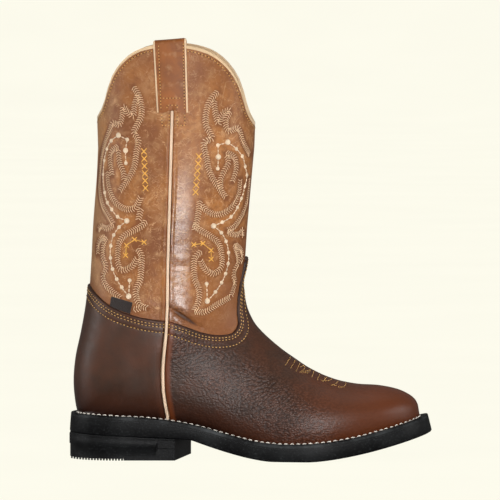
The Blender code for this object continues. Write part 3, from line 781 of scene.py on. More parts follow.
class Sheet:
    """A curved face as triangles, with its points in millimetres and the outward normals there."""

    def __init__(self, points, triangles, normals=None):
        self.points = points
        self.triangles = triangles
        self.normals = self.facing() if normals is None else normals

    def facing(self):
        """Unit normals of the points, weighted by the area of the triangles round them."""
        a, b, c = (self.points[self.triangles[:, i]] for i in range(3))
        face = np.cross(b - a, c - a)
        normals = np.zeros_like(self.points)
        for i in range(3):
            np.add.at(normals, self.triangles[:, i], face)
        return unit(normals)

    def moved(self, offset):
        """The sheet's points moved out along its normals."""
        return self.points + self.normals * np.broadcast_to(offset, len(self.points))[:, None]

    def split(self, values, level):
        """The sheet, and its values, with every triangle cut where the values pass the level."""
        values = np.where(np.abs(values - level) < SNAP, level, values)
        above = values >= level
        corners = above[self.triangles]
        count = corners.sum(axis=1)
        mixed = (count == 1) | (count == 2)
        cut = self.triangles[mixed]
        if not len(cut):
            return self, values
        odd = np.argmax(corners[mixed] == (count[mixed] == 1)[:, None], axis=1)
        row = np.arange(len(cut))
        a, b, c = (cut[row, (odd + i) % 3] for i in range(3))
        ends = np.sort(np.vstack((np.column_stack((a, b)), np.column_stack((a, c)))), axis=1)
        pairs, place = np.unique(ends, axis=0, return_inverse=True)
        place = place.reshape(-1) + len(self.points)
        p, q = place[:len(cut)], place[len(cut):]
        start, stop = pairs.T
        t = ((level - values[start]) / (values[stop] - values[start]))[:, None]
        points = self.points[start] * (1 - t) + self.points[stop] * t
        normals = unit(self.normals[start] * (1 - t) + self.normals[stop] * t)
        pieces = [self.triangles[~mixed]]
        pieces += [np.column_stack(corner) for corner in ((a, p, q), (p, b, c), (p, c, q))]
        made = Sheet(np.vstack((self.points, points)), np.vstack(pieces), np.vstack((self.normals, normals)))
        return made, np.concatenate((values, np.full(len(pairs), level)))

    def part(self, wanted, *values):
        """The wanted triangles, with the values of the points that are left."""
        triangles = self.triangles[wanted]
        used, place = np.unique(triangles, return_inverse=True)
        made = Sheet(self.points[used], place.reshape(triangles.shape), self.normals[used])
        return made.welded(*(value[used] for value in values))

    def welded(self, *values):
        """The sheet with points at one place made one, and triangles without area left out."""
        spots = np.round(self.points, WELD_DIGITS)
        _, first, place = np.unique(spots, axis=0, return_index=True, return_inverse=True)
        triangles = place.reshape(-1)[self.triangles]
        a, b, c = triangles.T
        triangles = triangles[(a != b) & (b != c) & (c != a)]
        made = Sheet(self.points[first], triangles, self.normals[first])
        return made, [value[first] for value in values]

    def edges(self):
        """Both ends of every triangle's three sides, in its direction."""
        return np.vstack([self.triangles[:, [i, (i + 1) % 3]] for i in range(3)])

    def rim(self):
        """Edges that only one triangle has, in that triangle's direction."""
        edges = self.edges()
        _, place, count = np.unique(np.sort(edges, axis=1), axis=0, return_inverse=True, return_counts=True)
        return edges[count[place.reshape(-1)] == 1]


def segment_places(points, start, stop):
    """Distance of side view points from a segment, and their place along it from 0 to 1."""
    along = stop - start
    t = np.clip((points - start) @ along / (along @ along), 0, 1)
    return np.linalg.norm(points - start - t[:, None] * along, axis=1), t


def crease_heights(points):
    """How far the creases lift each point of the upper."""
    heights = np.zeros(len(points))
    side_view = points[:, [0, 2]]
    for x0, z0, x1, z1, width, height, side in CREASES:
        away, t = segment_places(side_view, np.array([x0, z0]), np.array([x1, z1]))
        fade = np.sin(np.pi * np.clip(t, *CREASE_ENDS)) ** CREASE_FADE_POWER
        here = 1.0 if side == 0 else (np.sign(points[:, 1]) == side)
        heights += height * fade * here * np.exp(-((away / width) ** 2))
    return heights


def path_side(points, path):
    """Signed distance from a side view path; positive on the right-hand side of its direction."""
    side_view = points[:, [0, 2]]
    best = np.full(len(points), np.inf)
    signed = np.zeros(len(points))
    for start, stop in zip(path, path[1:]):
        away, _ = segment_places(side_view, start, stop)
        along = stop - start
        offset = side_view - start
        right = offset[:, 0] * along[1] - offset[:, 1] * along[0]
        nearer = away < best
        best = np.where(nearer, away, best)
        signed = np.where(nearer, np.where(right >= 0, away, -away), signed)
    return signed


def seam_distance(points):
    """Side view distance from the side seam, positive towards the toe."""
    return -path_side(points, smooth_path(SEAM_LINE, SEAM_STEP))


def panel_distance(points):
    """Side view distance below the top edges of vamp and counter, negative above them."""
    vamp = path_side(points, smooth_path(VAMP_EDGE, PANEL_EDGE_STEP))
    counter = -path_side(points, smooth_path(COUNTER_EDGE, PANEL_EDGE_STEP))
    return np.where(seam_distance(points) > 0, vamp, counter)


def cut_for_troughs(sheet):
    """The sheet with its triangles cut along the deep troughs, so that these come out smooth."""
    for x0, z0, x1, z1, width, height, _ in CREASES:
        if height > -CREASE_FLOOR:
            continue
        start, stop = np.array([x0, z0]), np.array([x1, z1])
        for share in TROUGH_LINES:
            away, _ = segment_places(sheet.points[:, [0, 2]], start, stop)
            signed = path_side(sheet.points, (start, stop))
            beside = np.where(away < TROUGH_REACH * width, signed, TROUGH_REACH * width)
            sheet, _ = sheet.split(beside, share * width)
    return sheet


def grid_sheet(grid):
    """Sheet of a grid of points, with two triangles to each cell."""
    rows, columns = grid.shape[:2]
    index = np.arange(rows * columns).reshape(rows, columns)
    a, b = index[:-1, :-1].ravel(), index[:-1, 1:].ravel()
    c, d = index[1:, 1:].ravel(), index[1:, :-1].ravel()
    return Sheet(grid.reshape(-1, 3), np.vstack((np.column_stack((a, b, c)), np.column_stack((a, c, d)))))


def softened(grid):
    """The grid with the turn between foot and leg rows made gentle at the heel."""
    reach = HEEL_CALM_REACH
    ends = slice(FOOT_ROWS - reach, FOOT_ROWS + reach)
    weight = np.sin(np.linspace(0, np.pi, 2 * reach))[:, None, None]
    for _ in range(HEEL_CALM_ROUNDS):
        block = grid[ends]
        before = grid[FOOT_ROWS - reach - 1:FOOT_ROWS + reach - 1]
        after = grid[FOOT_ROWS - reach + 1:FOOT_ROWS + reach + 1]
        calm = block + HEEL_CALM_SHARE * weight * ((before + after) / 2 - block)
        calm[:, :2] = block[:, :2]
        calm[:, -2:] = block[:, -2:]
        grid[ends] = calm
    return grid


@lru_cache(maxsize=None)
def upper_sheet(step=1):
    """The upper's outer face with its creases; step leaves out rows and columns."""
    plain, _ = grid_sheet(softened(upper_grid())[::step, ::step]).welded()
    plain = Sheet(plain.points, plain.triangles)
    middle = plain.points.mean(axis=0)
    if np.sum((plain.points - middle) * plain.normals) < 0:
        plain = Sheet(plain.points, plain.triangles[:, ::-1])
    if step == 1:
        plain = cut_for_troughs(plain)
    return Sheet(plain.moved(np.maximum(crease_heights(plain.points), -CREASE_FLOOR)), plain.triangles)


def rolled(distance, radius):
    """Height share of a folded edge: 0 at the edge, 1 from a radius inwards."""
    t = np.clip(np.asarray(distance, float) / radius, 0, 1)
    return np.sqrt(1 - (1 - t) ** 2)


def grooves(distance, rows):
    """Depth of the furrows that tight stitch rows pull into the leather."""
    return sum(FURROW_DEPTH * np.exp(-(((distance - row) / FURROW_WIDTH) ** 2)) for row in rows)


def edge_distance(points, edge):
    """Distance of points from the nearest of the edge's points."""
    tree = KDTree(len(edge))
    for i, point in enumerate(edge):
        tree.insert(point, i)
    tree.balance()
    return np.array([tree.find(point)[2] for point in points])


def collar_distance(sheet):
    """Distance of a sheet's points from its edge at the collar."""
    rim = sheet.points[np.unique(sheet.rim())]
    return edge_distance(sheet.points, rim[rim[:, 2] > COLLAR_FRONT_DIP - COLLAR_ROW])


def cut_panel(base, towards, rows, roll):
    """Foot panel on one side of the seam: its sheet, and distances from its top edge and from the seam."""
    sheet = base
    roll_levels = [roll * share for share in ROLL_SHARES]
    for level in [0.0] + roll_levels:
        gap = towards * seam_distance(sheet.points) - SEAM_CLEARANCE
        sheet, gap = sheet.split(gap, level)
        sheet, _ = sheet.part(gap[sheet.triangles].max(axis=1) > 0)
    below = panel_distance(sheet.points)
    sheet, below = sheet.split(below, 0.0)
    sheet, (below,) = sheet.part(below[sheet.triangles].max(axis=1) > 0, below)
    away = edge_distance(sheet.points, sheet.points[below == 0])
    for level in roll_levels + [row + shift for row in rows for shift in (-FURROW_WIDTH, 0, FURROW_WIDTH)]:
        sheet, away = sheet.split(away, level)
    sheet, (away,) = sheet.welded(away)
    gap = towards * seam_distance(sheet.points) - SEAM_CLEARANCE
    return sheet, away, gap


def level_paths(sheet, values, level):
    """Paths of neighbouring points whose values are at the level, as lists of point numbers."""
    on_level = np.abs(values - level) < LEVEL_TOLERANCE
    edges = sheet.edges()
    edges = edges[on_level[edges].all(axis=1)]
    beside = {}
    for a, b in edges.tolist():
        beside.setdefault(a, set()).add(b)
        beside.setdefault(b, set()).add(a)
    paths = []
    left = set(beside)
    while left:
        ends = [i for i in left if len(beside[i] & left) <= 1]
        here = min(ends or left)
        path = []
        while here is not None:
            path.append(here)
            left.discard(here)
            onward = beside[here] & left
            here = min(onward) if onward else None
        paths.append(path)
    return [path for path in paths if len(path) > 2]


def along_path(points, normals, pitch):
    """Places at a pitch along a path on a surface: points, directions and normals."""
    points = np.asarray(points, float)
    length = path_length(points)
    count = max(int(length[-1] / pitch), 1)
    at = (np.arange(count) + 0.5) * length[-1] / count

    def read(data, where):
        return np.column_stack([np.interp(where, length, data[:, i]) for i in range(3)])

    facing = unit(read(np.asarray(normals, float), at))
    ahead = read(points, at + pitch / 2) - read(points, at - pitch / 2)
    ahead -= facing * np.sum(ahead * facing, axis=1)[:, None]
    return read(points, at), unit(ahead), facing


def lay_on(tree, side_view, side, rounds=NORMAL_ROUNDS):
    """Points and calm normals where a side view path meets a surface, seen from that side."""
    points, normals = [], []
    for x, z in side_view:
        hit, normal, _, _ = tree.ray_cast(Vector((x, side * RAY_START, z)), Vector((0, -side, 0)))
        if hit is not None:
            points.append(hit)
            normals.append(normal if normal.y * side > 0 else -normal)
    points, normals = np.reshape(points, (-1, 3)), np.reshape(normals, (-1, 3))
    for _ in range(rounds):
        normals[1:-1] = (normals[:-2] + normals[1:-1] + normals[2:]) / 3
    return points, unit(normals)


def places_on(tree, side_view, side, pitch):
    """Places at a pitch along a side view path that lies on a surface."""
    return along_path(*lay_on(tree, side_view, side), pitch)


def thread_arrays(places, length, radius):
    """Points and faces of short stitches that lie on a surface and dive into it at both ends."""
    origins, alongs, normals = places
    across = np.cross(normals, alongs)
    shape = np.array(STITCH_SHAPE)
    turn = full_turn(STITCH_SIDES)
    u = np.repeat(shape[:, 0], STITCH_SIDES) / 2
    v = (shape[:, 1][:, None] * np.cos(turn)).ravel() * radius
    w = (shape[:, 1][:, None] * np.sin(turn) + shape[:, 2][:, None]).ravel() * radius
    length = np.broadcast_to(length, len(origins))
    points = origins[:, None] + alongs[:, None] * (u[None] * length[:, None])[..., None]
    points = points + across[:, None] * v[None, :, None] + normals[:, None] * w[None, :, None]
    rings = len(shape)
    i, j = np.meshgrid(np.arange(rings - 1) * STITCH_SIDES, np.arange(STITCH_SIDES), indexing="ij")
    k = (j + 1) % STITCH_SIDES
    corners = (i + j, i + k, i + k + STITCH_SIDES, i + j + STITCH_SIDES)
    quads = np.stack(corners, axis=-1).reshape(-1, 4)
    first = np.arange(STITCH_SIDES)[::-1]
    last = np.arange(STITCH_SIDES) + (rings - 1) * STITCH_SIDES
    faces = []
    for start in range(0, len(origins) * len(u), len(u)):
        faces += (quads + start).tolist()
        faces.append((first + start).tolist())
        faces.append((last + start).tolist())
    return points.reshape(-1, 3), faces


def joined(parts):
    """One set of points and faces from several."""
    points, faces = [], []
    start = 0
    for part_points, part_faces in parts:
        points.append(part_points)
        faces += [[i + start for i in face] for face in part_faces]
        start += len(part_points)
    return np.vstack(points), faces


def wall_arrays(sheet, outer, inner):
    """Points and faces of a closed wall between two forms of a sheet, and each face's kind.

    A face of kind 0 is outside, 1 inside and 2 on the rim.
    """
    count = len(sheet.points)
    rim = sheet.rim()
    sides = np.column_stack((rim[:, 1], rim[:, 0], rim[:, 0] + count, rim[:, 1] + count))
    faces = sheet.triangles.tolist() + (sheet.triangles[:, ::-1] + count).tolist() + sides.tolist()
    kinds = np.repeat((0, 1, 2), (len(sheet.triangles), len(sheet.triangles), len(sides)))
    return np.vstack((outer, inner)), faces, kinds


def loft_arrays(loops, capped=False):
    """Points and faces of loops joined one to the next; capped closes the first and the last."""
    rows, count = len(loops), len(loops[0])
    points = np.vstack(loops)
    faces = []
    for i in range(rows - 1):
        for j in range(count):
            k = (j + 1) % count
            faces.append([i * count + j, i * count + k, (i + 1) * count + k, (i + 1) * count + j])
    if capped:
        faces.append(list(range(count))[::-1])
        faces.append(list(range((rows - 1) * count, rows * count)))
    return points, faces


def add_piece(
    name, points, faces, finishes, slot, stands_for=(), kinds=None, fields=None, sharp=SHARP_ANGLE
):
    """A smooth mesh piece of the boot, in metres.

    stands_for names the nodes it takes the place of, kinds picks each face's finish, and fields are values
    of its points.
    """
    mesh = bpy.data.meshes.new(name)
    mesh.from_pydata((np.asarray(points) * MM).tolist(), [], faces)
    for finish in finishes:
        mesh.materials.append(finish)
    if kinds is not None:
        mesh.polygons.foreach_set("material_index", np.asarray(kinds, dtype=np.int32))
    for field, values in (fields or {}).items():
        layer = mesh.attributes.new(field, "FLOAT", "POINT")
        layer.data.foreach_set("value", np.asarray(values, dtype=np.float32))
    if mesh.validate(verbose=False):
        raise RuntimeError(name + " has faces that can't be used")
    made = bmesh.new()
    made.from_mesh(mesh)
    bmesh.ops.remove_doubles(made, verts=made.verts, dist=WELD)
    bmesh.ops.recalc_face_normals(made, faces=made.faces)
    made.to_mesh(mesh)
    made.free()
    mesh.shade_smooth()
    mesh.set_sharp_from_angle(angle=math.radians(sharp))
    piece = bpy.data.objects.new(name, mesh)
    bpy.context.collection.objects.link(piece)
    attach(piece, "root")
    if stands_for:
        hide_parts(*stands_for)


def screen(red, green, blue):
    """Linear colour of a screen colour given from 0 to 255."""
    return tuple((value / SCREEN_WHITE) ** SCREEN_GAMMA for value in (red, green, blue))


def colour_setting(name, description, *default):
    """A colour that a user can change; its default is a screen colour."""
    return FloatVectorProperty(name=name, description=description, subtype="COLOR", default=screen(*default))


def length_setting(name, description, default):
    """A length, in metres, that a user can change."""
    return FloatProperty(name=name, description=description, unit="LENGTH", default=default)


class BootColours(bpy.types.PropertyGroup):
    """Colours of the boot's leathers, threads and rubber."""

    shaft_tan: colour_setting("Shaft tan", "Main tone of the shaft leather", 174, 112, 58)
    # shaft_dark is also the tone of the painted shade on the shaft
    shaft_dark: colour_setting("Shaft dark", "Oiled patches of the shaft", 130, 77, 39)
    # shaft_pale is also the painted light along the back of the shaft
    shaft_pale: colour_setting("Shaft pale", "Rubbed places and scuffs", 214, 166, 118)
    # painted sheen: a pale highlight painted low in the polished strip
    painted_sheen: colour_setting("Painted sheen", "Waxy bloom low in the polished strip", 222, 194, 182)
    foot_brown: colour_setting("Foot brown", "Main tone of vamp and counter", 68, 47, 36)
    foot_red: colour_setting("Foot red", "Warm tone at toe and welt", 116, 60, 31)
    # foot_dark is also the tone of painted shade near the welt, in the grain's hollows and in the needle
    # holes
    foot_dark: colour_setting("Foot dark", "Burnished leather at the welt", 34, 19, 14)
    # foot_pale is a painted highlight on the grain's tops in the sheen band
    foot_pale: colour_setting("Foot pale", "Rubbed tops of the vamp's grain", 142, 118, 114)
    strap_brown: colour_setting("Strap brown", "Pull strap leather", 160, 94, 44)
    raw_edge: colour_setting("Raw edge", "Cut edges of collar and straps", 240, 206, 166)
    lining: colour_setting("Lining", "Leather lining of the shaft", 238, 204, 160)
    piping: colour_setting("Piping", "Bead on the side seams", 248, 216, 184)
    band_thread: colour_setting("Band thread", "Embroidered bands", 250, 212, 168)
    gold_thread: colour_setting("Gold thread", "Cross stitches", 255, 192, 88)
    row_thread: colour_setting("Row thread", "Seam rows of panels, collar and straps", 228, 176, 98)
    cream_thread: colour_setting("Cream thread", "Dot chains", 252, 226, 192)
    welt_thread: colour_setting("Welt thread", "Seam on the welt", 240, 232, 220)
    rubber: colour_setting("Rubber", "Sole and heel", 15, 15, 16)
    rubber_worn: colour_setting("Worn rubber", "Dusty rubber on the welt's rim", 76, 79, 80)
    tag: colour_setting("Tag", "Blank woven side tag", 40, 29, 25)
    floor: colour_setting("Floor", "Pale studio floor", 255, 253, 238)


class BootSizes(bpy.types.PropertyGroup):
    """Sizes of the leather and the stitching."""

    shaft_wall: length_setting("Shaft wall", "Thickness of the shaft leather", 0.0013)
    lined_wall: length_setting("Lined wall", "Thickness of shaft and lining", 0.0022)
    panel: length_setting("Foot panel", "Height of vamp and counter above the shaft", 0.0017)
    panel_roll: length_setting("Panel roll", "Radius of the panels' folded edges", 0.0016)
    row_pitch: length_setting("Row pitch", "Length of a step in the seam rows", 0.003)
    row_stitch: length_setting("Row stitch", "Length of a stitch in the seam rows", 0.0016)
    thread: length_setting("Thread", "Radius of the sewing thread", 0.00034)
    welt_pitch: length_setting("Welt pitch", "Length of a step in the welt seam", 0.0051)
    welt_stitch: length_setting("Welt stitch", "Length of a stitch in the welt seam", 0.004)
    welt_thread: length_setting("Welt thread", "Radius of the welt's thread", 0.00074)
    band_pitch: length_setting("Band pitch", "Step between the bars of a band", 0.0019)
    band_width: length_setting("Band width", "Width of an embroidered band", 0.0054)
    piping: length_setting("Piping", "Radius of the side bead", 0.00115)
    strap: length_setting("Strap", "Thickness of the pull straps", 0.002)


def sizes(name):
    """A size in millimetres."""
    return getattr(bpy.context.scene.boot_sizes, name) / MM


def colour(name, share=1.0):
    """A colour as a node takes it; share makes it darker or paler."""
    return (*(share * value for value in getattr(bpy.context.scene.boot_colours, name)), 1.0)


class Finish:
    """A procedural material, laid out one node at a time from its base colour on."""

    def __init__(self, name, base, **fixed):
        self.material = bpy.data.materials.new(name)
        self.material.use_nodes = True
        self.nodes = self.material.node_tree.nodes
        self.shader = self.nodes["Principled BSDF"]
        self.places = self.add("ShaderNodeTexCoord").outputs["Object"]
        self.base = base
        self.normal = None
        for socket, value in fixed.items():
            self.feed(self.shader, socket.replace("_", " "), value)

    def feed(self, node, socket, value):
        """Links an output to a node's input, or sets the input to a value."""
        if isinstance(value, bpy.types.NodeSocket):
            self.material.node_tree.links.new(value, node.inputs[socket])
        else:
            node.inputs[socket].default_value = value

    def add(self, kind, inputs=None, **settings):
        node = self.nodes.new(kind)
        for name, value in settings.items():
            setattr(node, name, value)
        for socket, value in (inputs or {}).items():
            self.feed(node, socket, value)
        return node

    def stretched(self, x, y, z):
        """Places scaled along the three axes."""
        inputs = {"Vector": self.places, "Scale": (x, y, z)}
        return self.add("ShaderNodeMapping", inputs).outputs[0]

    def noise(self, scale, detail=3.0, where=None, warp=0.0):
        inputs = {"Vector": where or self.places, "Scale": scale, "Detail": detail, "Distortion": warp}
        return self.add("ShaderNodeTexNoise", inputs).outputs[0]

    def bent(self, scale, amount):
        """Places shifted a little at random, to bend other patterns."""
        inputs = {"Vector": self.places, "Scale": scale, "Detail": 2.0}
        wander = self.add("ShaderNodeTexNoise", inputs).outputs["Color"]
        shift = self.add("ShaderNodeVectorMath", {0: wander, "Scale": amount}, operation="SCALE").outputs[0]
        return self.add("ShaderNodeVectorMath", {0: self.places, 1: shift}, operation="ADD").outputs[0]

    def cells(self, scale, feature="SMOOTH_F1", where=None):
        inputs = {"Vector": where or self.places, "Scale": scale}
        return self.add("ShaderNodeTexVoronoi", inputs, feature=feature).outputs["Distance"]

    def span(self, value, low, high, start=0.0, stop=1.0):
        """The value taken from between low and high to between start and stop, and held there."""
        inputs = {"Value": value, "From Min": low, "From Max": high, "To Min": start, "To Max": stop}
        return self.add("ShaderNodeMapRange", inputs).outputs[0]

    def maths(self, operation, first, second=0.0):
        return self.add("ShaderNodeMath", {0: first, 1: second}, operation=operation).outputs[0]

    def times(self, first, second):
        return self.maths("MULTIPLY", first, second)

    def lines(self, value, width):
        """1 along the middle contour of a noise and 0 beside it."""
        away = self.maths("ABSOLUTE", self.maths("SUBTRACT", value, 0.5))
        return self.span(away, 0.0, width, 1.0, 0.0)

    def mix(self, share, first, second):
        return self.add("ShaderNodeMix", {0: share, 6: first, 7: second}, data_type="RGBA").outputs[2]

    def tint(self, share, over):
        """Lays a colour over the base, as strongly as share says."""
        self.base = self.mix(share, self.base, over)

    def stain(self, pattern, low, high, over, most=1.0):
        """Lays a colour over the base where the pattern is high: none at low, the most at high."""
        self.tint(self.span(pattern, low, high, 0.0, most), over)

    def fade(self, pattern, low, high, over, most):
        """Lays a colour over the base where the pattern is low: the most at low, none at high."""
        self.tint(self.span(pattern, low, high, most, 0.0), over)

    def field(self, name):
        """A value that the mesh carries at its points."""
        return self.add("ShaderNodeAttribute", attribute_name=name).outputs["Fac"]

    def along(self, axis):
        """Place along an axis, in metres."""
        return self.add("ShaderNodeSeparateXYZ", {0: self.places}).outputs[axis]

    def bump(self, height, distance, strength):
        """Lays a relief, with its depth in metres, over those before it."""
        inputs = {"Height": height, "Distance": distance, "Strength": strength}
        if self.normal:
            inputs["Normal"] = self.normal
        self.normal = self.add("ShaderNodeBump", inputs).outputs[0]

    def done(self, roughness):
        self.feed(self.shader, "Base Color", self.base)
        self.feed(self.shader, "Roughness", roughness)
        if self.normal:
            self.feed(self.shader, "Normal", self.normal)
        return self.material


def shaft_leather():
    """Waxed tan leather: mottled, scuffed with pale hair lines, polished ahead of the side seams; painted
    sheen low in that strip, painted light at the back and painted shade.
    """
    look = Finish("shaft_leather", colour("shaft_dark"), Coat_Roughness=0.22, Specular_IOR_Level=0.4)
    polish = look.field("polish")
    look.feed(look.shader, "Coat Weight", look.span(polish, 0.0, 1.0, 0.08, 1.0))
    cloud = look.noise(85.0, detail=5.0, warp=0.6)
    look.stain(look.noise(26.0, detail=3.0), 0.36, 0.6, colour("shaft_tan"))
    look.stain(cloud, 0.5, 0.78, colour("shaft_pale"), most=0.5)
    look.stain(look.noise(230.0, detail=5.0), 0.46, 0.72, colour("shaft_dark"), most=0.75)
    for scale, width in HAIR_LINES:
        hairs = look.lines(look.noise(scale, detail=4.0, warp=1.4), width)
        patches = look.span(look.noise(scale * HAIR_PATCH), 0.42, 0.62, 0.0, 0.75)
        look.tint(look.times(hairs, patches), colour("shaft_pale"))
    # painted sheen: a pale highlight laid into the colour low in the polished strip
    painted_sheen = look.times(polish, look.span(look.along("Z"), *PAINTED_SHEEN_FADE, 0.6, 0.0))
    patches = look.span(look.noise(330.0, detail=4.0, warp=0.6), 0.4, 0.6, 0.25, 1.0)
    look.tint(look.times(painted_sheen, patches), colour("painted_sheen"))
    # painted light: the back of the shaft paler, as where its edge catches light
    look.fade(look.along("X"), *PAINTED_BACK_LIGHT, colour("shaft_pale"), most=0.4)
    # painted shade: darker above the foot panels, beside the seams, towards the collar, under the bands and
    # in the creases, almost black in the deepest
    soil = look.field("soil")
    look.tint(soil, colour("shaft_dark"))
    look.stain(soil, *DEEP_PAINTED_SHADE, colour("shaft_dark", DEEP_SHADE))
    pulls = look.noise(110.0, detail=5.0, where=look.stretched(0.5, 0.5, 1.7), warp=0.9)
    crackle = look.noise(420.0, detail=4.0, where=look.stretched(0.7, 0.7, 1.3), warp=0.6)
    plates = look.cells(190.0, feature="DISTANCE_TO_EDGE", where=look.bent(160.0, 0.006))
    wrinkle = look.span(plates, 0.0, 0.16)
    look.bump(look.noise(120.0, detail=3.0), distance=0.0006, strength=0.35)
    for relief, least, depth, strength in (
        (pulls, 0.12, 0.0024, 0.5),
        (crackle, 0.25, 0.0018, 0.7),
        (wrinkle, 0.15, 0.0012, 0.5),
    ):
        shown = look.times(relief, look.span(polish, 0.0, 1.0, least, 1.0))
        look.bump(shown, distance=depth, strength=strength)
    look.bump(look.cells(950.0), distance=0.00025, strength=0.35)
    dull = look.span(cloud, 0.3, 0.7, 0.46, 0.6)
    return look.done(look.maths("SUBTRACT", dull, look.times(polish, 0.24)))


def foot_leather(name, pebble, red):
    """Oiled dark leather; pebble is how strong its grain is, red the tint of its fold at the seam."""
    look = Finish(name, colour("foot_brown"), Coat_Roughness=0.32, Specular_IOR_Level=0.3)
    sheen = look.field("sheen")
    look.feed(look.shader, "Coat Weight", look.span(sheen, 0.0, 1.0, 0.05, 0.11))
    height = look.field("height")
    station = look.along("X")
    toe = look.span(station, *RED_TOE)
    fold = look.span(look.field("seam"), *SEAM_FOLD)
    look.stain(look.noise(55.0, detail=4.0), 0.35, 0.7, colour("foot_red"), most=0.24)
    look.tint(look.times(toe, 0.75), colour("foot_red"))
    look.fade(height, *RED_HEIGHT, colour("foot_red"), most=0.5)
    # painted shade: darker low on the panels near the welt, most towards the heel, where the leather faces
    # down
    waist = look.span(station, *PAINTED_SHADE_WAIST, 1.0, 0.45)
    look.tint(look.times(look.span(height, *PAINTED_SHADE_HEIGHT, 0.95, 0.0), waist), colour("foot_dark"))
    look.fade(look.field("edge"), *DARK_EDGE, colour("foot_dark"), most=0.6)
    look.fade(fold, 0.0, 1.0, colour("foot_red"), most=red)
    calm = look.times(look.span(toe, 0.0, 1.0, 1.0, 0.25), look.span(fold, 0.0, 1.0, 0.1, 1.0))
    calm = look.times(calm, look.span(sheen, 0.02, 0.5, 0.35, 1.0))
    pebbles = look.cells(590.0, where=look.stretched(0.9, 1.0, 1.2))
    # painted shade in the grain's hollows, and a painted highlight on its tops in the sheen band
    painted_grain_shade = look.times(look.span(pebbles, 0.34, 0.56, 0.0, 0.85), calm)
    painted_grain_highlight = look.times(look.span(pebbles, 0.1, 0.38, 0.3, 0.0), look.times(calm, sheen))
    look.tint(look.times(painted_grain_highlight, pebble), colour("foot_pale"))
    look.tint(look.times(painted_grain_shade, pebble), colour("foot_dark"))
    look.bump(look.noise(70.0, detail=2.0), distance=0.0008, strength=0.25)
    look.bump(look.maths("SUBTRACT", 1.0, look.times(pebbles, calm)), distance=0.0009, strength=pebble)
    look.bump(look.noise(1500.0, detail=2.0), distance=0.0001, strength=0.3)
    return look.done(look.span(look.noise(260.0, detail=4.0), 0.3, 0.7, 0.36, 0.5))


def strap_leather():
    """Brown leather of the pull straps, clouded and lightly scuffed."""
    look = Finish(
        "strap_leather", colour("shaft_dark"), Coat_Weight=0.05, Coat_Roughness=0.35, Specular_IOR_Level=0.35
    )
    cloud = look.noise(70.0, detail=4.0, warp=0.5)
    look.stain(cloud, 0.36, 0.66, colour("strap_brown"))
    look.stain(look.noise(160.0, detail=4.0), 0.55, 0.8, colour("shaft_pale"), most=0.4)
    look.bump(look.cells(1000.0), distance=0.0002, strength=0.35)
    look.bump(look.noise(210.0, detail=3.0), distance=0.0004, strength=0.3)
    return look.done(look.span(cloud, 0.3, 0.7, 0.42, 0.56))


def suede(name, tone):
    """Napped leather of linings, raw edges and the insole board."""
    look = Finish(name, colour(tone), Sheen_Weight=0.15, Sheen_Roughness=0.5)
    fibre = look.noise(900.0, detail=5.0)
    dark = colour(tone, NAP_SHADE)
    look.stain(look.noise(60.0, detail=3.0), 0.4, 0.7, dark, most=0.55)
    look.stain(fibre, 0.4, 0.75, dark, most=0.4)
    look.bump(fibre, distance=0.0002, strength=0.5)
    return look.done(look.span(fibre, 0.3, 0.7, 0.75, 0.92))


def thread(name, tone, twist):
    """Waxed thread with a fine twist; it takes a darker tone where it is soiled."""
    look = Finish(name, colour(tone), Sheen_Weight=0.2, Sheen_Roughness=0.4)
    dark = colour(tone, THREAD_SHADE)
    ply = look.noise(twist, detail=2.0)
    look.stain(look.noise(140.0, detail=2.0), 0.4, 0.7, dark, most=0.6)
    look.stain(ply, 0.45, 0.7, dark, most=0.5)
    look.bump(ply, distance=0.00015, strength=0.6)
    return look.done(look.span(ply, 0.3, 0.7, 0.5, 0.68))


def rubber(name, worn):
    """Moulded rubber with a fine pitted skin and a dusty bloom."""
    look = Finish(name, colour("rubber"), Specular_IOR_Level=0.15)
    skin = look.noise(700.0, detail=4.0)
    look.stain(look.noise(45.0, detail=4.0), 0.42, 0.8, colour("rubber_worn"), most=worn)
    look.stain(skin, 0.56, 0.8, colour("rubber_worn"), most=0.3 + worn / 2)
    look.bump(skin, distance=0.00025, strength=0.4)
    look.bump(look.cells(1400.0), distance=0.0001, strength=0.3)
    return look.done(look.span(skin, 0.3, 0.7, 0.42, 0.58))


def tag_weave():
    """Dark blank ribbon woven in fine crossing ribs, with a painted highlight where the ribs stand up."""
    look = Finish("tag_weave", colour("tag"), Sheen_Weight=0.3, Sheen_Roughness=0.5)
    ribs = [look.maths("SINE", look.times(look.along(axis), pace)) for axis, pace in TAG_RIBS]
    rib = look.times(*ribs)
    # painted highlight where the woven ribs stand up
    look.stain(rib, -0.2, 1.0, colour("tag", TAG_LIGHT), most=0.6)
    look.stain(look.noise(300.0), 0.4, 0.7, colour("foot_dark"), most=0.3)
    look.bump(rib, distance=0.0002, strength=0.6)
    return look.done(look.span(rib, -1.0, 1.0, 0.6, 0.8))


def charted(points, scale=CHART_SCALE):
    """Side view places, in millimetres, of points charted on the picture of the lateral side."""
    points = np.asarray(points, float)
    x = (points[:, 0] - PICTURE_MIDDLE) * scale
    z = EYE_HEIGHT - (points[:, 1] - PICTURE_HORIZON) * scale
    return np.column_stack((x, z))


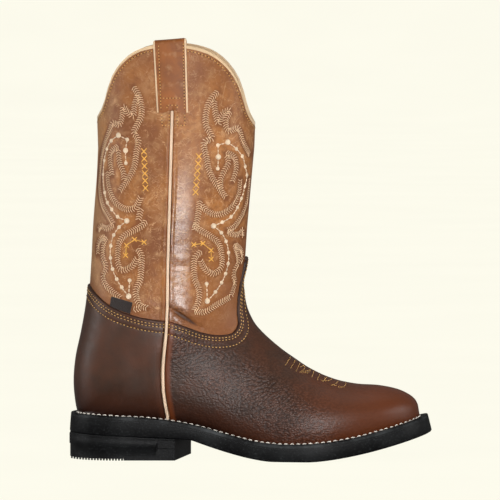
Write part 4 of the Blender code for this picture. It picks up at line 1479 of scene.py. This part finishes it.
@lru_cache(maxsize=None)
def shaft_form():
    """Shaft above the foot panels: its sheet, its outer face and the distance from its collar edge."""
    base = upper_sheet()
    hidden = panel_distance(base.points)
    sheet, _ = base.part(hidden[base.triangles].min(axis=1) < PANEL_UNDERLAP)
    for level in SEAM_LEVELS:
        sheet, _ = sheet.split(seam_distance(sheet.points), level)
        sheet, _ = sheet.split(seam_distance(sheet.points), -level)
    sheet, _ = sheet.welded()
    sheet, away = sheet.split(collar_distance(sheet), COLLAR_TRIM)
    sheet, (away,) = sheet.part(away[sheet.triangles].max(axis=1) > COLLAR_TRIM, away)
    away = away - COLLAR_TRIM
    furrow = (COLLAR_ROW - FURROW_WIDTH, COLLAR_ROW, COLLAR_ROW + FURROW_WIDTH)
    for level in (COLLAR_ROLL / 3, COLLAR_ROLL) + furrow:
        sheet, away = sheet.split(away, level)
    sheet, (away,) = sheet.welded(away)
    gap = np.abs(seam_distance(sheet.points))
    inner, edge, outer, end = SEAM_LEVELS[-4:]
    strip = STRIP_HEIGHT * (soft_step(gap, inner, edge) - soft_step(gap, outer, end))
    trough = STRIP_TROUGH * (1 - soft_step(gap, SEAM_LEVELS[0], inner))
    fade = 1 - soft_step(sheet.points[:, 2], *STRIP_FADE)
    roll = COLLAR_ROLL / 2 * (1 - rolled(away, COLLAR_ROLL))
    lift = (strip - trough) * fade - roll - grooves(away, (COLLAR_ROW,))
    return sheet, sheet.moved(lift), away


@lru_cache(maxsize=None)
def panel_form(towards):
    """Vamp, ahead of the seam, or counter, behind it: sheet, outer face, edge and seam distances."""
    rows = PANEL_ROWS[towards]
    roll = sizes("panel_roll")
    sheet, away, gap = cut_panel(upper_sheet(), towards, rows, roll)
    curl = TONGUE_CURL * soft_step(sheet.points[:, 2], *TONGUE_SPAN) * (towards > 0)
    lift = PANEL_LIFT + sizes("panel") * rolled(np.minimum(away, gap), roll) - grooves(away, rows) + curl
    return sheet, sheet.moved(lift), away, gap


def tree_of(sheet, points):
    """Search tree of a sheet's triangles at other points."""
    return BVHTree.FromPolygons([Vector(point) for point in points], sheet.triangles.tolist())


@lru_cache(maxsize=None)
def shaft_tree():
    sheet, outer, _ = shaft_form()
    return tree_of(sheet, outer)


@lru_cache(maxsize=None)
def panel_tree(towards):
    sheet, outer, _, _ = panel_form(towards)
    return tree_of(sheet, outer)


@lru_cache(maxsize=None)
def lining_tree():
    sheet = upper_sheet(2)
    return tree_of(sheet, sheet.moved(-sizes("lined_wall")))


def shaft_polish(points):
    """How polished the shaft is: in a strip ahead of the side seam."""
    gap = seam_distance(points)
    beside = soft_step(gap, *POLISH_START) * (1 - soft_step(gap, *POLISH_END))
    return beside * soft_step(points[:, 2], *POLISH_FOOT) * (1 - soft_step(points[:, 2], *POLISH_HEAD))


def shaft_painted_shade(points):
    """How much painted shade the shaft takes: above the foot panels, along the seam, towards the collar and
    under the bands.
    """
    gap = seam_distance(points)
    foot_share, reach_back, reach_front = PAINTED_SHADE_AT_FOOT
    seam_share, *seam_span = PAINTED_SHADE_AT_SEAM
    collar_share, *collar_span = PAINTED_SHADE_AT_COLLAR
    above_foot = -panel_distance(points) / np.where(gap > 0, reach_front, reach_back)
    bands = np.vstack([smooth_path(charted(route), ROUTE_STEP) for route in BAND_ROUTES])
    beyond = edge_distance(points * (1, 0, 1), np.insert(bands, 1, 0, axis=1)) - sizes("band_width") / 2
    shares = (
        foot_share * (1 - soft_step(above_foot, 0, 1)),
        seam_share * (1 - soft_step(np.abs(gap), *seam_span)),
        collar_share * soft_step(points[:, 2], *collar_span),
        PAINTED_SHADE_AT_BAND * (1 - soft_step(beyond, *PAINTED_SHADE_BAND_EDGE)),
    )
    return np.max(shares, axis=0)


class BOOT_OT_shaft(bpy.types.Operator):
    """Tan shaft with folded seam strips, raw collar edge and the creases above the foot"""

    bl_idname = "boot.shaft"
    bl_label = "Shaft"

    def execute(self, context):
        sheet, outer, _ = shaft_form()
        points, faces, kinds = wall_arrays(sheet, outer, sheet.moved(-sizes("shaft_wall")))
        # the creases' troughs take painted shade and lose their polish
        trough = np.maximum(-PAINTED_SHADE_IN_CREASE * crease_heights(sheet.points), 0)
        polish = shaft_polish(sheet.points) * np.clip(1 - trough, 0, 1)
        soil = np.maximum(shaft_painted_shade(sheet.points), trough)
        finishes = [shaft_leather(), suede("shaft_flesh", "lining"), suede("shaft_raw_edge", "raw_edge")]
        fields = {"polish": np.tile(polish, 2), "soil": np.tile(soil, 2)}
        add_piece("shaft", points, faces, finishes, "shaft_leather", ["upper"], kinds, fields)
        return {"FINISHED"}


class BOOT_OT_lining(bpy.types.Operator):
    """Pale lining from the collar, where its lip covers the shaft's edge, down to the insole"""

    bl_idname = "boot.lining"
    bl_label = "Lining"

    def execute(self, context):
        sheet = upper_sheet(2)
        away = collar_distance(sheet)
        for level in LIP_SPAN:
            sheet, away = sheet.split(away, level)
        outer = sheet.moved(-(sizes("shaft_wall") + LINING_GAP) * soft_step(away, *LIP_SPAN))
        points, faces, kinds = wall_arrays(sheet, outer, sheet.moved(-sizes("lined_wall")))
        tones = {"lining_back": "lining", "lining_face": "lining", "lining_edge": "raw_edge"}
        finishes = [suede(name, tone) for name, tone in tones.items()]
        add_piece("lining", points, faces, finishes, "insole", kinds=kinds)
        return {"FINISHED"}


class BOOT_OT_foot_panels(bpy.types.Operator):
    """Vamp and counter with folded top edges"""

    bl_idname = "boot.foot_panels"
    bl_label = "Vamp and counter"

    def execute(self, context):
        panels = (("vamp", 1, VAMP_PEBBLE, VAMP_FOLD), ("counter", -1, COUNTER_PEBBLE, COUNTER_FOLD))
        for name, towards, pebble, fold in panels:
            sheet, outer, away, gap = panel_form(towards)
            points, faces, _ = wall_arrays(sheet, outer, sheet.moved(-PANEL_LIFT))
            height = sheet.points[:, 2] - welt_top(sheet.points[:, 0])
            beside, _ = segment_places(sheet.points[:, [0, 2]], *np.array(SHEEN_LINE))
            sheen = (towards > 0) * np.exp(-((beside / SHEEN_REACH) ** 2))
            fields = {"height": height, "edge": np.minimum(away, gap), "seam": gap, "sheen": sheen}
            fields = {field: np.tile(values, 2) for field, values in fields.items()}
            finish = foot_leather(name + "_leather", pebble, fold)
            add_piece(name + "_panel", points, faces, [finish], "foot_leather", [name], fields=fields)
        return {"FINISHED"}


class BOOT_OT_piping(bpy.types.Operator):
    """Cream bead on each side seam, from under the strap to the welt"""

    bl_idname = "boot.piping"
    bl_label = "Side piping"

    def execute(self, context):
        tree = tree_of(upper_sheet(), upper_sheet().points)
        finish = suede("piping_cream", "piping")
        turn = full_turn(PIPING_SIDES)
        for label, side in SIDES:
            path = smooth_path(SEAM_LINE[1:], PIPING_STEP)
            centre, normal = lay_on(tree, path, side)
            climb = PIPING_CLIMB * (1 - soft_step(centre[:, 2], *PIPING_RAMP))
            centre = centre + normal * (PIPING_SEAT + sizes("panel") * climb)[:, None]
            across = np.cross(unit(np.gradient(centre, axis=0)), normal)
            round_off = sizes("piping") * (across[:, None] * np.cos(turn)[None, :, None]
                                           + normal[:, None] * np.sin(turn)[None, :, None])
            points, faces = loft_arrays(list(centre[:, None] + round_off), capped=True)
            add_piece("piping_" + label, points, faces, [finish], "piping", ["side_piping_" + label])
        return {"FINISHED"}


def strap_lines(side):
    """Inner and outer face of a pull strap as rows along the band, each across its width."""
    peak = float(collar_height(0.0))
    probe_top = peak - STRAP_PROBE_DROP
    thickness = sizes("strap")
    shares = np.concatenate(([0.0], np.linspace(STRAP_EDGE, 1 - STRAP_EDGE, STRAP_COLUMNS - 2), [1.0]))
    near, away = [], []

    def column(share, z):
        rise = np.clip((z - STRAP_OUTER_END) / (peak - STRAP_OUTER_END), 0, 1)
        centre = STRAP_FOOT_CENTRE + (STRAP_HEAD_CENTRE - STRAP_FOOT_CENTRE) * rise
        width = STRAP_FOOT_WIDTH + (STRAP_HEAD_WIDTH - STRAP_FOOT_WIDTH) * rise
        return centre + STRAP_SHIFTS[side] + (share - 0.5) * width

    def wall(tree, x, z, start, direction):
        hit, _, _, _ = tree.ray_cast(Vector((x, start, min(z, probe_top))), Vector((0, direction, 0)))
        return hit.y

    for share in shares:
        arch_middle = 0.5 - STRAP_SHIFTS[side] / STRAP_FOOT_WIDTH
        arch = STRAP_ARCH * math.exp(-(((share - arch_middle) / STRAP_ARCH_WIDTH) ** 2))
        tilt = STRAP_TILT * (column(share, peak) - STRAP_HEAD_CENTRE)
        crown = peak + STRAP_STANDS[side] + tilt
        full = thickness * (STRAP_EDGE_SHARE if share in (0, 1) else 1)
        low = STRAP_OUTER_END + arch
        near_line, away_line = [], []
        for z in np.linspace(low, crown, STRAP_LEG_ROWS, endpoint=False):
            x = column(share, z)
            y = wall(shaft_tree(), x, z, side * RAY_START, -side) + side * LINING_GAP
            near_line.append((x, y, z))
            away_line.append((x, y + side * full, z))
        x = column(share, peak)
        out_y = wall(shaft_tree(), x, probe_top, side * RAY_START, -side) + side * LINING_GAP
        in_y = wall(lining_tree(), x, probe_top, 0.0, side) - side * LINING_GAP
        middle, radius = (out_y + in_y) / 2, abs(out_y - in_y) / 2
        for turn in np.linspace(0, np.pi, STRAP_FOLD_ROWS):
            for line, reach in ((near_line, radius), (away_line, radius + full)):
                line.append((x, middle + side * reach * math.cos(turn), crown + reach * math.sin(turn)))
        for z in np.linspace(crown, STRAP_INNER_END, STRAP_LEG_ROWS)[1:]:
            y = wall(lining_tree(), x, z, 0.0, side) - side * LINING_GAP
            near_line.append((x, y, z))
            away_line.append((x, y - side * full, z))
        near.append(near_line)
        away.append(away_line)
    return np.array(near).swapaxes(0, 1), np.array(away).swapaxes(0, 1)


@lru_cache(maxsize=None)
def strap_form(side):
    near, away = strap_lines(side)
    return grid_sheet(away), near.reshape(-1, 3)


class BOOT_OT_pull_straps(bpy.types.Operator):
    """Pull straps folded over the collar, with pale cut edges"""

    bl_idname = "boot.pull_straps"
    bl_label = "Pull straps"

    def execute(self, context):
        flesh = suede("strap_flesh", "strap_brown")
        finishes = [strap_leather(), flesh, suede("strap_raw_edge", "raw_edge")]
        for label, side in SIDES:
            sheet, near = strap_form(side)
            points, faces, kinds = wall_arrays(sheet, sheet.points, near)
            column = np.arange(len(sheet.triangles)) % (STRAP_COLUMNS - 1)
            kinds[:len(column)][(column == 0) | (column == STRAP_COLUMNS - 2)] = 2
            rim = sheet.rim() % STRAP_COLUMNS
            kinds[-len(rim):] = np.where(rim[:, 0] == rim[:, 1], 2, 0)
            node = "pull_strap_" + label
            sharp = STRAP_SHARP_ANGLE
            add_piece("strap_" + label, points, faces, finishes, "strap_leather", [node], kinds, sharp=sharp)
        return {"FINISHED"}


def ring(plan, height):
    """Plan points lifted to a height that depends on their station."""
    return np.column_stack((plan, height(plan[:, 0])))


def on_welt(plan, rise):
    """Plan points at a rise above the welt's top face."""
    return ring(plan, lambda x: welt_top(x) + rise)


def ladder_faces(first, count):
    """Faces that close a ring, numbered from first, with rungs from side to side."""
    faces = []
    for i in range(count // 2):
        corners = (i, i + 1, (count - i - 1) % count, (count - i) % count)
        faces.append([first + corner for corner in dict.fromkeys(corners)])
    return faces


def plate_arrays(loops):
    """Points and faces of rings joined one to the next, with both ends closed by rungs."""
    points, faces = loft_arrays(loops)
    count = len(loops[0])
    return points, faces + ladder_faces(0, count) + ladder_faces((len(loops) - 1) * count, count)


def toe_lean(turns):
    """How much more the sole's edge leans in at the toe."""
    more, start, stop = TOE_LEAN
    return 1 + more * soft_step(SOLE_LENGTH / 2 * np.cos(turns), start, stop)


class BOOT_OT_insole(bpy.types.Operator):
    """Insole board with a soft rounded rim"""

    bl_idname = "boot.insole"
    bl_label = "Insole"

    def execute(self, context):
        turns = full_turn(SOLE_STATIONS)
        loops = [on_welt(inset_ring(turns, INSOLE_INSET + extra), rise) for extra, rise in INSOLE_PROFILE]
        add_piece("footbed", *plate_arrays(loops), [suede("insole_board", "lining")], "insole", ["insole"])
        return {"FINISHED"}


class BOOT_OT_welt(bpy.types.Operator):
    """Rubber welt with a rounded rim and a furrow for its seam"""

    bl_idname = "boot.welt"
    bl_label = "Welt"

    def execute(self, context):
        turns = full_turn(SOLE_STATIONS)
        loops = [on_welt(sole_edge(turns, lean * toe_lean(turns)), rise) for lean, rise in WELT_RIM]
        loops += [on_welt(inset_ring(turns, extra), rise) for extra, rise in WELT_LEDGE]
        points, faces = loft_arrays(loops + loops[:1])
        row = np.arange(len(loops))
        worn = (row >= WELT_WORN_ROWS[0]) & (row < WELT_WORN_ROWS[1])
        kinds = np.repeat(worn, len(turns)).astype(int)
        finishes = [rubber("welt_rubber", WELT_WEAR), rubber("welt_rim_rubber", RIM_WEAR)]
        add_piece("welt_strip", points, faces, finishes, "sole_rubber", ["welt"], kinds)
        return {"FINISHED"}


def tread_bars(row, floor):
    """Bars across the sole, or teeth at its two edges, each a closed block from the floor's height up."""
    start, stop, pitch, width, inset, depth, reach = row
    blocks = []
    for x in np.arange(start, stop, pitch):
        edges = np.array([x - width / 2, x + width / 2])
        lateral, medial = plan_limits(lambda turns: sole_edge(turns, inset), edges)
        spans = [(lateral, medial)]
        if reach:
            lateral_end = np.minimum(lateral + reach, medial)
            medial_start = np.maximum(medial - reach, lateral)
            spans = [(lateral, lateral_end), (medial_start, medial)]
        for near, far in spans:
            loop = np.column_stack((edges[[0, 1, 1, 0]], np.append(near, far[::-1])))
            low = ring(loop, floor)
            blocks.append(loft_arrays([low, low + np.array([0.0, 0.0, depth])], capped=True))
    return blocks


class BOOT_OT_outsole(bpy.types.Operator):
    """Outsole with a rounded tread border and transverse bars under the forefoot"""

    bl_idname = "boot.outsole"
    bl_label = "Outsole"

    def execute(self, context):
        turns = full_turn(SOLE_STATIONS)
        joint = sole_edge(turns, JOINT_LEAN * toe_lean(turns))
        loops = [on_welt(joint, -WELT_THICKNESS - SOLE_SEAM)]
        for inset, rise in TREAD_BORDER:
            loops.append(ring(sole_edge(turns, inset), lambda x, rise=rise: sole_bottom(x) + rise))
        points, faces = joined([plate_arrays(loops)] + tread_bars(FOREFOOT_BARS, sole_bottom))
        finish = rubber("outsole_rubber", SOLE_WEAR)
        add_piece("outsole_tread", points, faces, [finish], "sole_rubber", ["outsole"])
        return {"FINISHED"}


class BOOT_OT_heel(bpy.types.Operator):
    """Heel block with its raised band, slanted breast and fine teeth behind"""

    bl_idname = "boot.heel"
    bl_label = "Heel"

    def execute(self, context):
        half = SOLE_LENGTH / 2
        start = np.arccos(BREAST_MEDIAL / half)
        stop = 2 * np.pi - np.arccos(BREAST_LATERAL / half)
        turns = np.linspace(start, stop, HEEL_STATIONS)
        loops = []
        for inset, share in HEEL_SIDE:
            plan = sole_edge(turns, inset)
            roof = sole_bottom(plan[:, 0]) - SOLE_SEAM
            loops.append(np.column_stack((plan, HEEL_RIB_DEPTH + (roof - HEEL_RIB_DEPTH) * share)))
        parts = [loft_arrays(loops, capped=True)] + tread_bars(HEEL_TEETH, np.zeros_like)
        ahead = turns[half * np.cos(turns) > HEEL_TEETH[1]]
        plate = sole_edge(ahead, HEEL_SIDE[0][0])
        low = np.column_stack((plate, np.zeros(len(plate))))
        high = low + np.array([0.0, 0.0, HEEL_RIB_DEPTH])
        parts.append(loft_arrays([low, high], capped=True))
        points, faces = joined(parts)
        finish = rubber("heel_rubber", SOLE_WEAR)
        add_piece("heel_block", points, faces, [finish], "sole_rubber", ["heel"])
        return {"FINISHED"}


def gathered(found):
    """Points, directions and normals of several paths in one."""
    return [np.vstack(part) for part in zip(*found)]


def row_places(sheet, outer, values, rows, pitch):
    """Places of the stitches of seam rows, at set values of a sheet."""
    facing = Sheet(outer, sheet.triangles).normals
    found = []
    for row in rows:
        for path in level_paths(sheet, values, row):
            found.append(along_path(outer[path], facing[path], pitch))
    return gathered(found)


def add_row(name, places, share, slot):
    """Seam rows with a dark pit of painted shade, standing for the needle hole, between each two stitches;
    share scales the step.
    """
    pitch, radius = sizes("row_pitch") * share, sizes("thread")
    origins, alongs, normals = places
    holes = (origins + alongs * (pitch / 2) - normals * HOLE_DEPTH, alongs, normals)
    stitches = thread_arrays(places, sizes("row_stitch") * share, radius)
    pits = thread_arrays(holes, HOLE_LENGTH * share, radius * HOLE_SHARE)
    kinds = np.repeat((0, 1), (len(stitches[1]), len(pits[1])))
    finishes = [thread(name + "_thread", "row_thread", ROW_TWIST), suede(name + "_holes", "foot_dark")]
    add_piece(name, *joined([stitches, pits]), finishes, slot, kinds=kinds)


def dense(points):
    """Points of straight runs, close enough to lie on a surface."""
    lengths = path_length(points)
    at = np.linspace(0, lengths[-1], max(int(lengths[-1] / ROUTE_STEP), 2))
    return np.column_stack([np.interp(at, lengths, points[:, i]) for i in range(2)])


class BOOT_OT_seam_rows(bpy.types.Operator):
    """Seam rows on vamp, counter, collar and straps"""

    bl_idname = "boot.seam_rows"
    bl_label = "Seam rows"

    def execute(self, context):
        pitch = sizes("row_pitch")
        for name, towards in (("vamp_rows", 1), ("counter_rows", -1)):
            sheet, outer, away, _ = panel_form(towards)
            add_row(name, row_places(sheet, outer, away, PANEL_ROWS[towards], pitch), 1.0, "foot_leather")
        sheet, outer, away = shaft_form()
        add_row("collar_row", row_places(sheet, outer, away, (COLLAR_ROW,), pitch), 1.0, "shaft_leather")
        for label, side in SIDES:
            sheet, _ = strap_form(side)
            tree = tree_of(sheet, sheet.points)
            found = [self.line(tree, route, side, STRAP_SHIFTS[side]) for route in STRAP_ROWS]
            found += [self.line(shaft_tree(), route, side, 0.0) for route in STRAP_BOXES]
            add_row("strap_rows_" + label, gathered(found), STRAP_ROW_SHARE, "strap_leather")
        return {"FINISHED"}

    def line(self, tree, route, side, shift):
        path = dense(charted(route) + np.array([shift, 0.0]))
        return places_on(tree, path, side, sizes("row_pitch") * STRAP_ROW_SHARE)


class BOOT_OT_welt_seam(bpy.types.Operator):
    """Pale seam in the welt's furrow, right round the upper"""

    bl_idname = "boot.welt_seam"
    bl_label = "Welt seam"

    def execute(self, context):
        turns = np.append(full_turn(SOLE_STATIONS), 2 * np.pi - TURN_STEP)
        path = on_welt(inset_ring(turns, -WELT_SEAM_OUT), -WELT_FURROW / 2)
        normals = np.tile((0.0, 0.0, 1.0), (len(path), 1))
        places = along_path(path, normals, sizes("welt_pitch"))
        arrays = thread_arrays(places, sizes("welt_stitch"), sizes("welt_thread"))
        add_piece("welt_seam", *arrays, [thread("welt_thread", "welt_thread", WELT_TWIST)], "sole_rubber")
        return {"FINISHED"}


def band_arrays(tree, route, side):
    """An embroidered band: two rows of short slanting bars along a charted route."""
    path = smooth_path(charted(route), ROUTE_STEP)
    origins, alongs, facing = places_on(tree, path, side, sizes("band_pitch"))
    across = np.cross(facing, alongs)
    width = sizes("band_width")
    parts = []
    for hand in (-1, 1):
        lean = across * math.cos(BAND_SLANT) + alongs * (hand * math.sin(BAND_SLANT))
        places = (origins + across * (hand * width / 4), lean, facing)
        parts.append(thread_arrays(places, width * BAND_BAR, sizes("thread") * BAND_THREAD))
    return joined(parts)


class BOOT_OT_bands(bpy.types.Operator):
    """Embroidered scrolls on both sides of the shaft"""

    bl_idname = "boot.bands"
    bl_label = "Embroidered bands"

    def execute(self, context):
        finish = thread("band_thread", "band_thread", BAND_TWIST)
        for label, side in SIDES:
            parts = [band_arrays(shaft_tree(), route, side) for route in BAND_ROUTES]
            add_piece("bands_" + label, *joined(parts), [finish], "shaft_leather")
        return {"FINISHED"}


def dot_arrays(tree, places, radius, side):
    """Round embroidered dots: low domes with a dimple, as sewn from the middle outwards."""
    points, normals = lay_on(tree, charted(places), side, 0)
    turn = full_turn(DOT_SIDES)
    parts = []
    for point, normal in zip(points, normals):
        across = np.cross(normal, (0.0, 0.0, 1.0))
        across /= np.linalg.norm(across)
        upright = np.cross(normal, across)
        spoke = across * np.cos(turn)[:, None] + upright * np.sin(turn)[:, None]
        loops = [point + spoke * radius * share + normal * radius * rise for share, rise in DOT_PROFILE]
        parts.append(loft_arrays(loops, capped=True))
    return parts


class BOOT_OT_dot_chains(bpy.types.Operator):
    """Chains of cream dots joined by short runs of thread"""

    bl_idname = "boot.dot_chains"
    bl_label = "Dot chains"

    def execute(self, context):
        cream = thread("cream_thread", "cream_thread", BAND_TWIST)
        for label, side in SIDES:
            parts = []
            for chain in DOT_CHAINS:
                path = smooth_path(charted(chain), ROUTE_STEP)
                places = places_on(shaft_tree(), path, side, CHAIN_PITCH)
                parts.append(thread_arrays(places, CHAIN_STITCH, sizes("thread") * CHAIN_THREAD))
                parts += dot_arrays(shaft_tree(), chain, DOT_RADIUS, side)
            parts += dot_arrays(shaft_tree(), LARGE_DOTS, LARGE_DOT_RADIUS, side)
            add_piece("dot_chains_" + label, *joined(parts), [cream], "shaft_leather")
        return {"FINISHED"}


def bar_arrays(route, side, share):
    """One straight stitch between two charted points of the shaft."""
    points, normals = lay_on(shaft_tree(), dense(charted(route)), side)
    length = path_length(points)[-1]
    return thread_arrays(along_path(points, normals, length), length, sizes("thread") * share)


def cross_arrays(centre, half, side):
    """Two crossing stitches."""
    (x, y), (wide, high) = centre, half
    rising = ((x - wide, y + high), (x + wide, y - high))
    falling = ((x - wide, y - high), (x + wide, y + high))
    return [bar_arrays(route, side, CROSS_THREAD) for route in (rising, falling)]


class BOOT_OT_crosses(bpy.types.Operator):
    """Gold cross stitches: two columns and two linked groups on each side"""

    bl_idname = "boot.crosses"
    bl_label = "Cross stitches"

    def execute(self, context):
        gold = thread("cross_thread", "gold_thread", BAND_TWIST)
        for label, side in SIDES:
            parts = []
            for first, last, count in CROSS_COLUMNS:
                for centre in np.linspace(first, last, count):
                    parts += cross_arrays(centre, CROSS_HALF, side)
            for group in LOOSE_CROSSES:
                for centre in group:
                    parts += cross_arrays(centre, LOOSE_HALF, side)
                parts += [bar_arrays(link, side, 1.0) for link in zip(group, group[1:])]
            add_piece("crosses_" + label, *joined(parts), [gold], "shaft_leather")
        return {"FINISHED"}


class BOOT_OT_toe_stitching(bpy.types.Operator):
    """Fine decorative stitching over the toe's flex line"""

    bl_idname = "boot.toe_stitching"
    bl_label = "Toe stitching"

    def execute(self, context):
        finish = thread("toe_thread", "row_thread", ROW_TWIST)
        parts = []
        for _, side in SIDES:
            for route in TOE_ROUTES:
                points, normals = lay_on(panel_tree(1), dense(charted(route, TOE_CHART_SCALE)), side)
                if len(points) > 2:
                    places = along_path(points, normals, TOE_PITCH)
                    parts.append(thread_arrays(places, TOE_STITCH, sizes("thread") * TOE_THREAD))
        add_piece("toe_stitching", *joined(parts), [finish], "foot_leather")
        return {"FINISHED"}


class BOOT_OT_tag(bpy.types.Operator):
    """Blank woven tag that comes out from under the counter's edge"""

    bl_idname = "boot.tag"
    bl_label = "Side tag"

    def execute(self, context):
        corners = charted(TAG_CORNERS)
        rows = []
        for down in np.linspace(0, 1, TAG_ROWS):
            left = corners[0] + (corners[3] - corners[0]) * down
            right = corners[1] + (corners[2] - corners[1]) * down
            line = left + (right - left) * np.linspace(0, 1, TAG_COLUMNS)[:, None]
            points, normals = lay_on(shaft_tree(), line, LATERAL)
            lift = TAG_LIFT + TAG_BOW * math.sin(math.pi * (1 - down) / 2)
            rows.append(points + normals * lift)
        sheet = grid_sheet(np.array(rows))
        sheet = sheet if sheet.normals[:, 1].mean() < 0 else Sheet(sheet.points, sheet.triangles[:, ::-1])
        points, faces, _ = wall_arrays(sheet, sheet.points, sheet.moved(-TAG_THICKNESS))
        add_piece("side_tag", points, faces, [tag_weave()], "strap_leather")
        return {"FINISHED"}


def aim_at(made, place, aim):
    """Put an object at a place with its view axis towards the aim."""
    made.location = place
    made.rotation_euler = (Vector(aim) - Vector(place)).to_track_quat("-Z", "Y").to_euler()


def floor_finish():
    """Cream floor that glows almost evenly and takes only a faint contact shadow."""
    look = Finish("floor_cream", BLACK)
    look.tint(look.span(look.noise(4.0, detail=2.0), 0.3, 0.7, *FLOOR_SPECK), colour("floor"))
    glow = look.add("ShaderNodeEmission", {"Color": look.base, "Strength": FLOOR_GLOW})
    dim = look.mix(FLOOR_SHADE, BLACK, look.base)
    shade = look.add("ShaderNodeBsdfDiffuse", {"Color": dim})
    blend = look.add("ShaderNodeAddShader", {0: glow.outputs[0], 1: shade.outputs[0]})
    look.feed(look.nodes["Material Output"], "Surface", blend.outputs[0])
    return look.material


class BOOT_OT_stage(bpy.types.Operator):
    """Floor, softboxes, surroundings and camera"""

    bl_idname = "boot.stage"
    bl_label = "Stage"

    def execute(self, context):
        self.floor()
        for softbox in SOFTBOXES:
            self.softbox(*softbox)
        self.surroundings(context.scene)
        self.camera(context.scene)
        return {"FINISHED"}

    def floor(self):
        """Round floor that sweeps up into a backdrop far outside the cameras, and only they see it."""
        rise = np.linspace(0, np.pi / 2, SWEEP_ROWS)
        reach = np.append(FLOOR_REACH + SWEEP * np.sin(rise), FLOOR_REACH + SWEEP)
        height = np.append(SWEEP * (1 - np.cos(rise)), BACKDROP_TOP)
        turn = full_turn(FLOOR_SIDES)
        round_turn = np.column_stack((np.cos(turn), np.sin(turn), np.zeros(FLOOR_SIDES)))
        loops = [round_turn * far + (0.0, 0.0, up - FLOOR_DROP) for far, up in zip(reach, height)]
        points, faces = loft_arrays(loops, capped=True)
        mesh = bpy.data.meshes.new("floor")
        mesh.from_pydata(points.tolist(), [], faces)
        mesh.shade_smooth()
        mesh.materials.append(floor_finish())
        floor = bpy.data.objects.new("floor", mesh)
        bpy.context.collection.objects.link(floor)
        floor.visible_diffuse = False
        floor.visible_glossy = False
        floor.visible_shadow = False

    def softbox(self, name, place, aim, size, power):
        light = bpy.data.lights.new(name, "AREA")
        light.shape = "RECTANGLE"
        light.size, light.size_y = size
        light.energy = power
        lamp = bpy.data.objects.new(name, light)
        bpy.context.collection.objects.link(lamp)
        lamp.visible_camera = False
        aim_at(lamp, place, aim)

    def surroundings(self, scene):
        world = bpy.data.worlds.new("studio")
        world.use_nodes = True
        nodes = world.node_tree.nodes
        links = world.node_tree.links
        places = nodes.new("ShaderNodeTexCoord")
        split = nodes.new("ShaderNodeSeparateXYZ")
        span = nodes.new("ShaderNodeMapRange")
        links.new(places.outputs["Generated"], split.inputs[0])
        links.new(split.outputs["Z"], span.inputs["Value"])
        span.inputs["From Min"].default_value = -1.0
        span.inputs["To Min"].default_value = SKY_LOW
        span.inputs["To Max"].default_value = SKY_HIGH
        links.new(span.outputs[0], nodes["Background"].inputs["Strength"])
        nodes["Background"].inputs["Color"].default_value = SKY_COLOUR
        scene.world = world
        scene.view_settings.view_transform = "Standard"

    def camera(self, scene):
        lens = bpy.data.cameras.new("camera")
        lens.lens = CAMERA_LENS
        camera = bpy.data.objects.new("camera", lens)
        bpy.context.collection.objects.link(camera)
        aim_at(camera, CAMERA_PLACE, CAMERA_AIM)
        scene.camera = camera


STEPS = (
    BOOT_OT_shaft,
    BOOT_OT_lining,
    BOOT_OT_foot_panels,
    BOOT_OT_piping,
    BOOT_OT_pull_straps,
    BOOT_OT_insole,
    BOOT_OT_welt,
    BOOT_OT_outsole,
    BOOT_OT_heel,
    BOOT_OT_seam_rows,
    BOOT_OT_welt_seam,
    BOOT_OT_bands,
    BOOT_OT_dot_chains,
    BOOT_OT_crosses,
    BOOT_OT_toe_stitching,
    BOOT_OT_tag,
    BOOT_OT_stage,
)


class BOOT_PT_sidebar(bpy.types.Panel):
    """Sizes, colours and building steps of the boot"""

    bl_idname = "BOOT_PT_sidebar"
    bl_label = "Roper Boot"
    bl_space_type = "VIEW_3D"
    bl_region_type = "UI"
    bl_category = "Boot"

    def draw(self, context):
        column = self.layout.column()
        for group in (context.scene.boot_sizes, context.scene.boot_colours):
            for name in group.__annotations__:
                column.prop(group, name)
        for step in STEPS:
            column.operator(step.bl_idname)


CLASSES = (BootColours, BootSizes) + STEPS + (BOOT_PT_sidebar,)


def register():
    for made in CLASSES:
        bpy.utils.register_class(made)
    bpy.types.Scene.boot_colours = PointerProperty(type=BootColours)
    bpy.types.Scene.boot_sizes = PointerProperty(type=BootSizes)


def unregister():
    del bpy.types.Scene.boot_sizes
    del bpy.types.Scene.boot_colours
    for made in reversed(CLASSES):
        bpy.utils.unregister_class(made)


def main():
    register()
    for step in STEPS:
        group, name = step.bl_idname.split(".")
        result = getattr(getattr(bpy.ops, group), name)()
        if result != {"FINISHED"}:
            raise RuntimeError(step.bl_label + " did not finish")


if __name__ == "__main__":
    main()
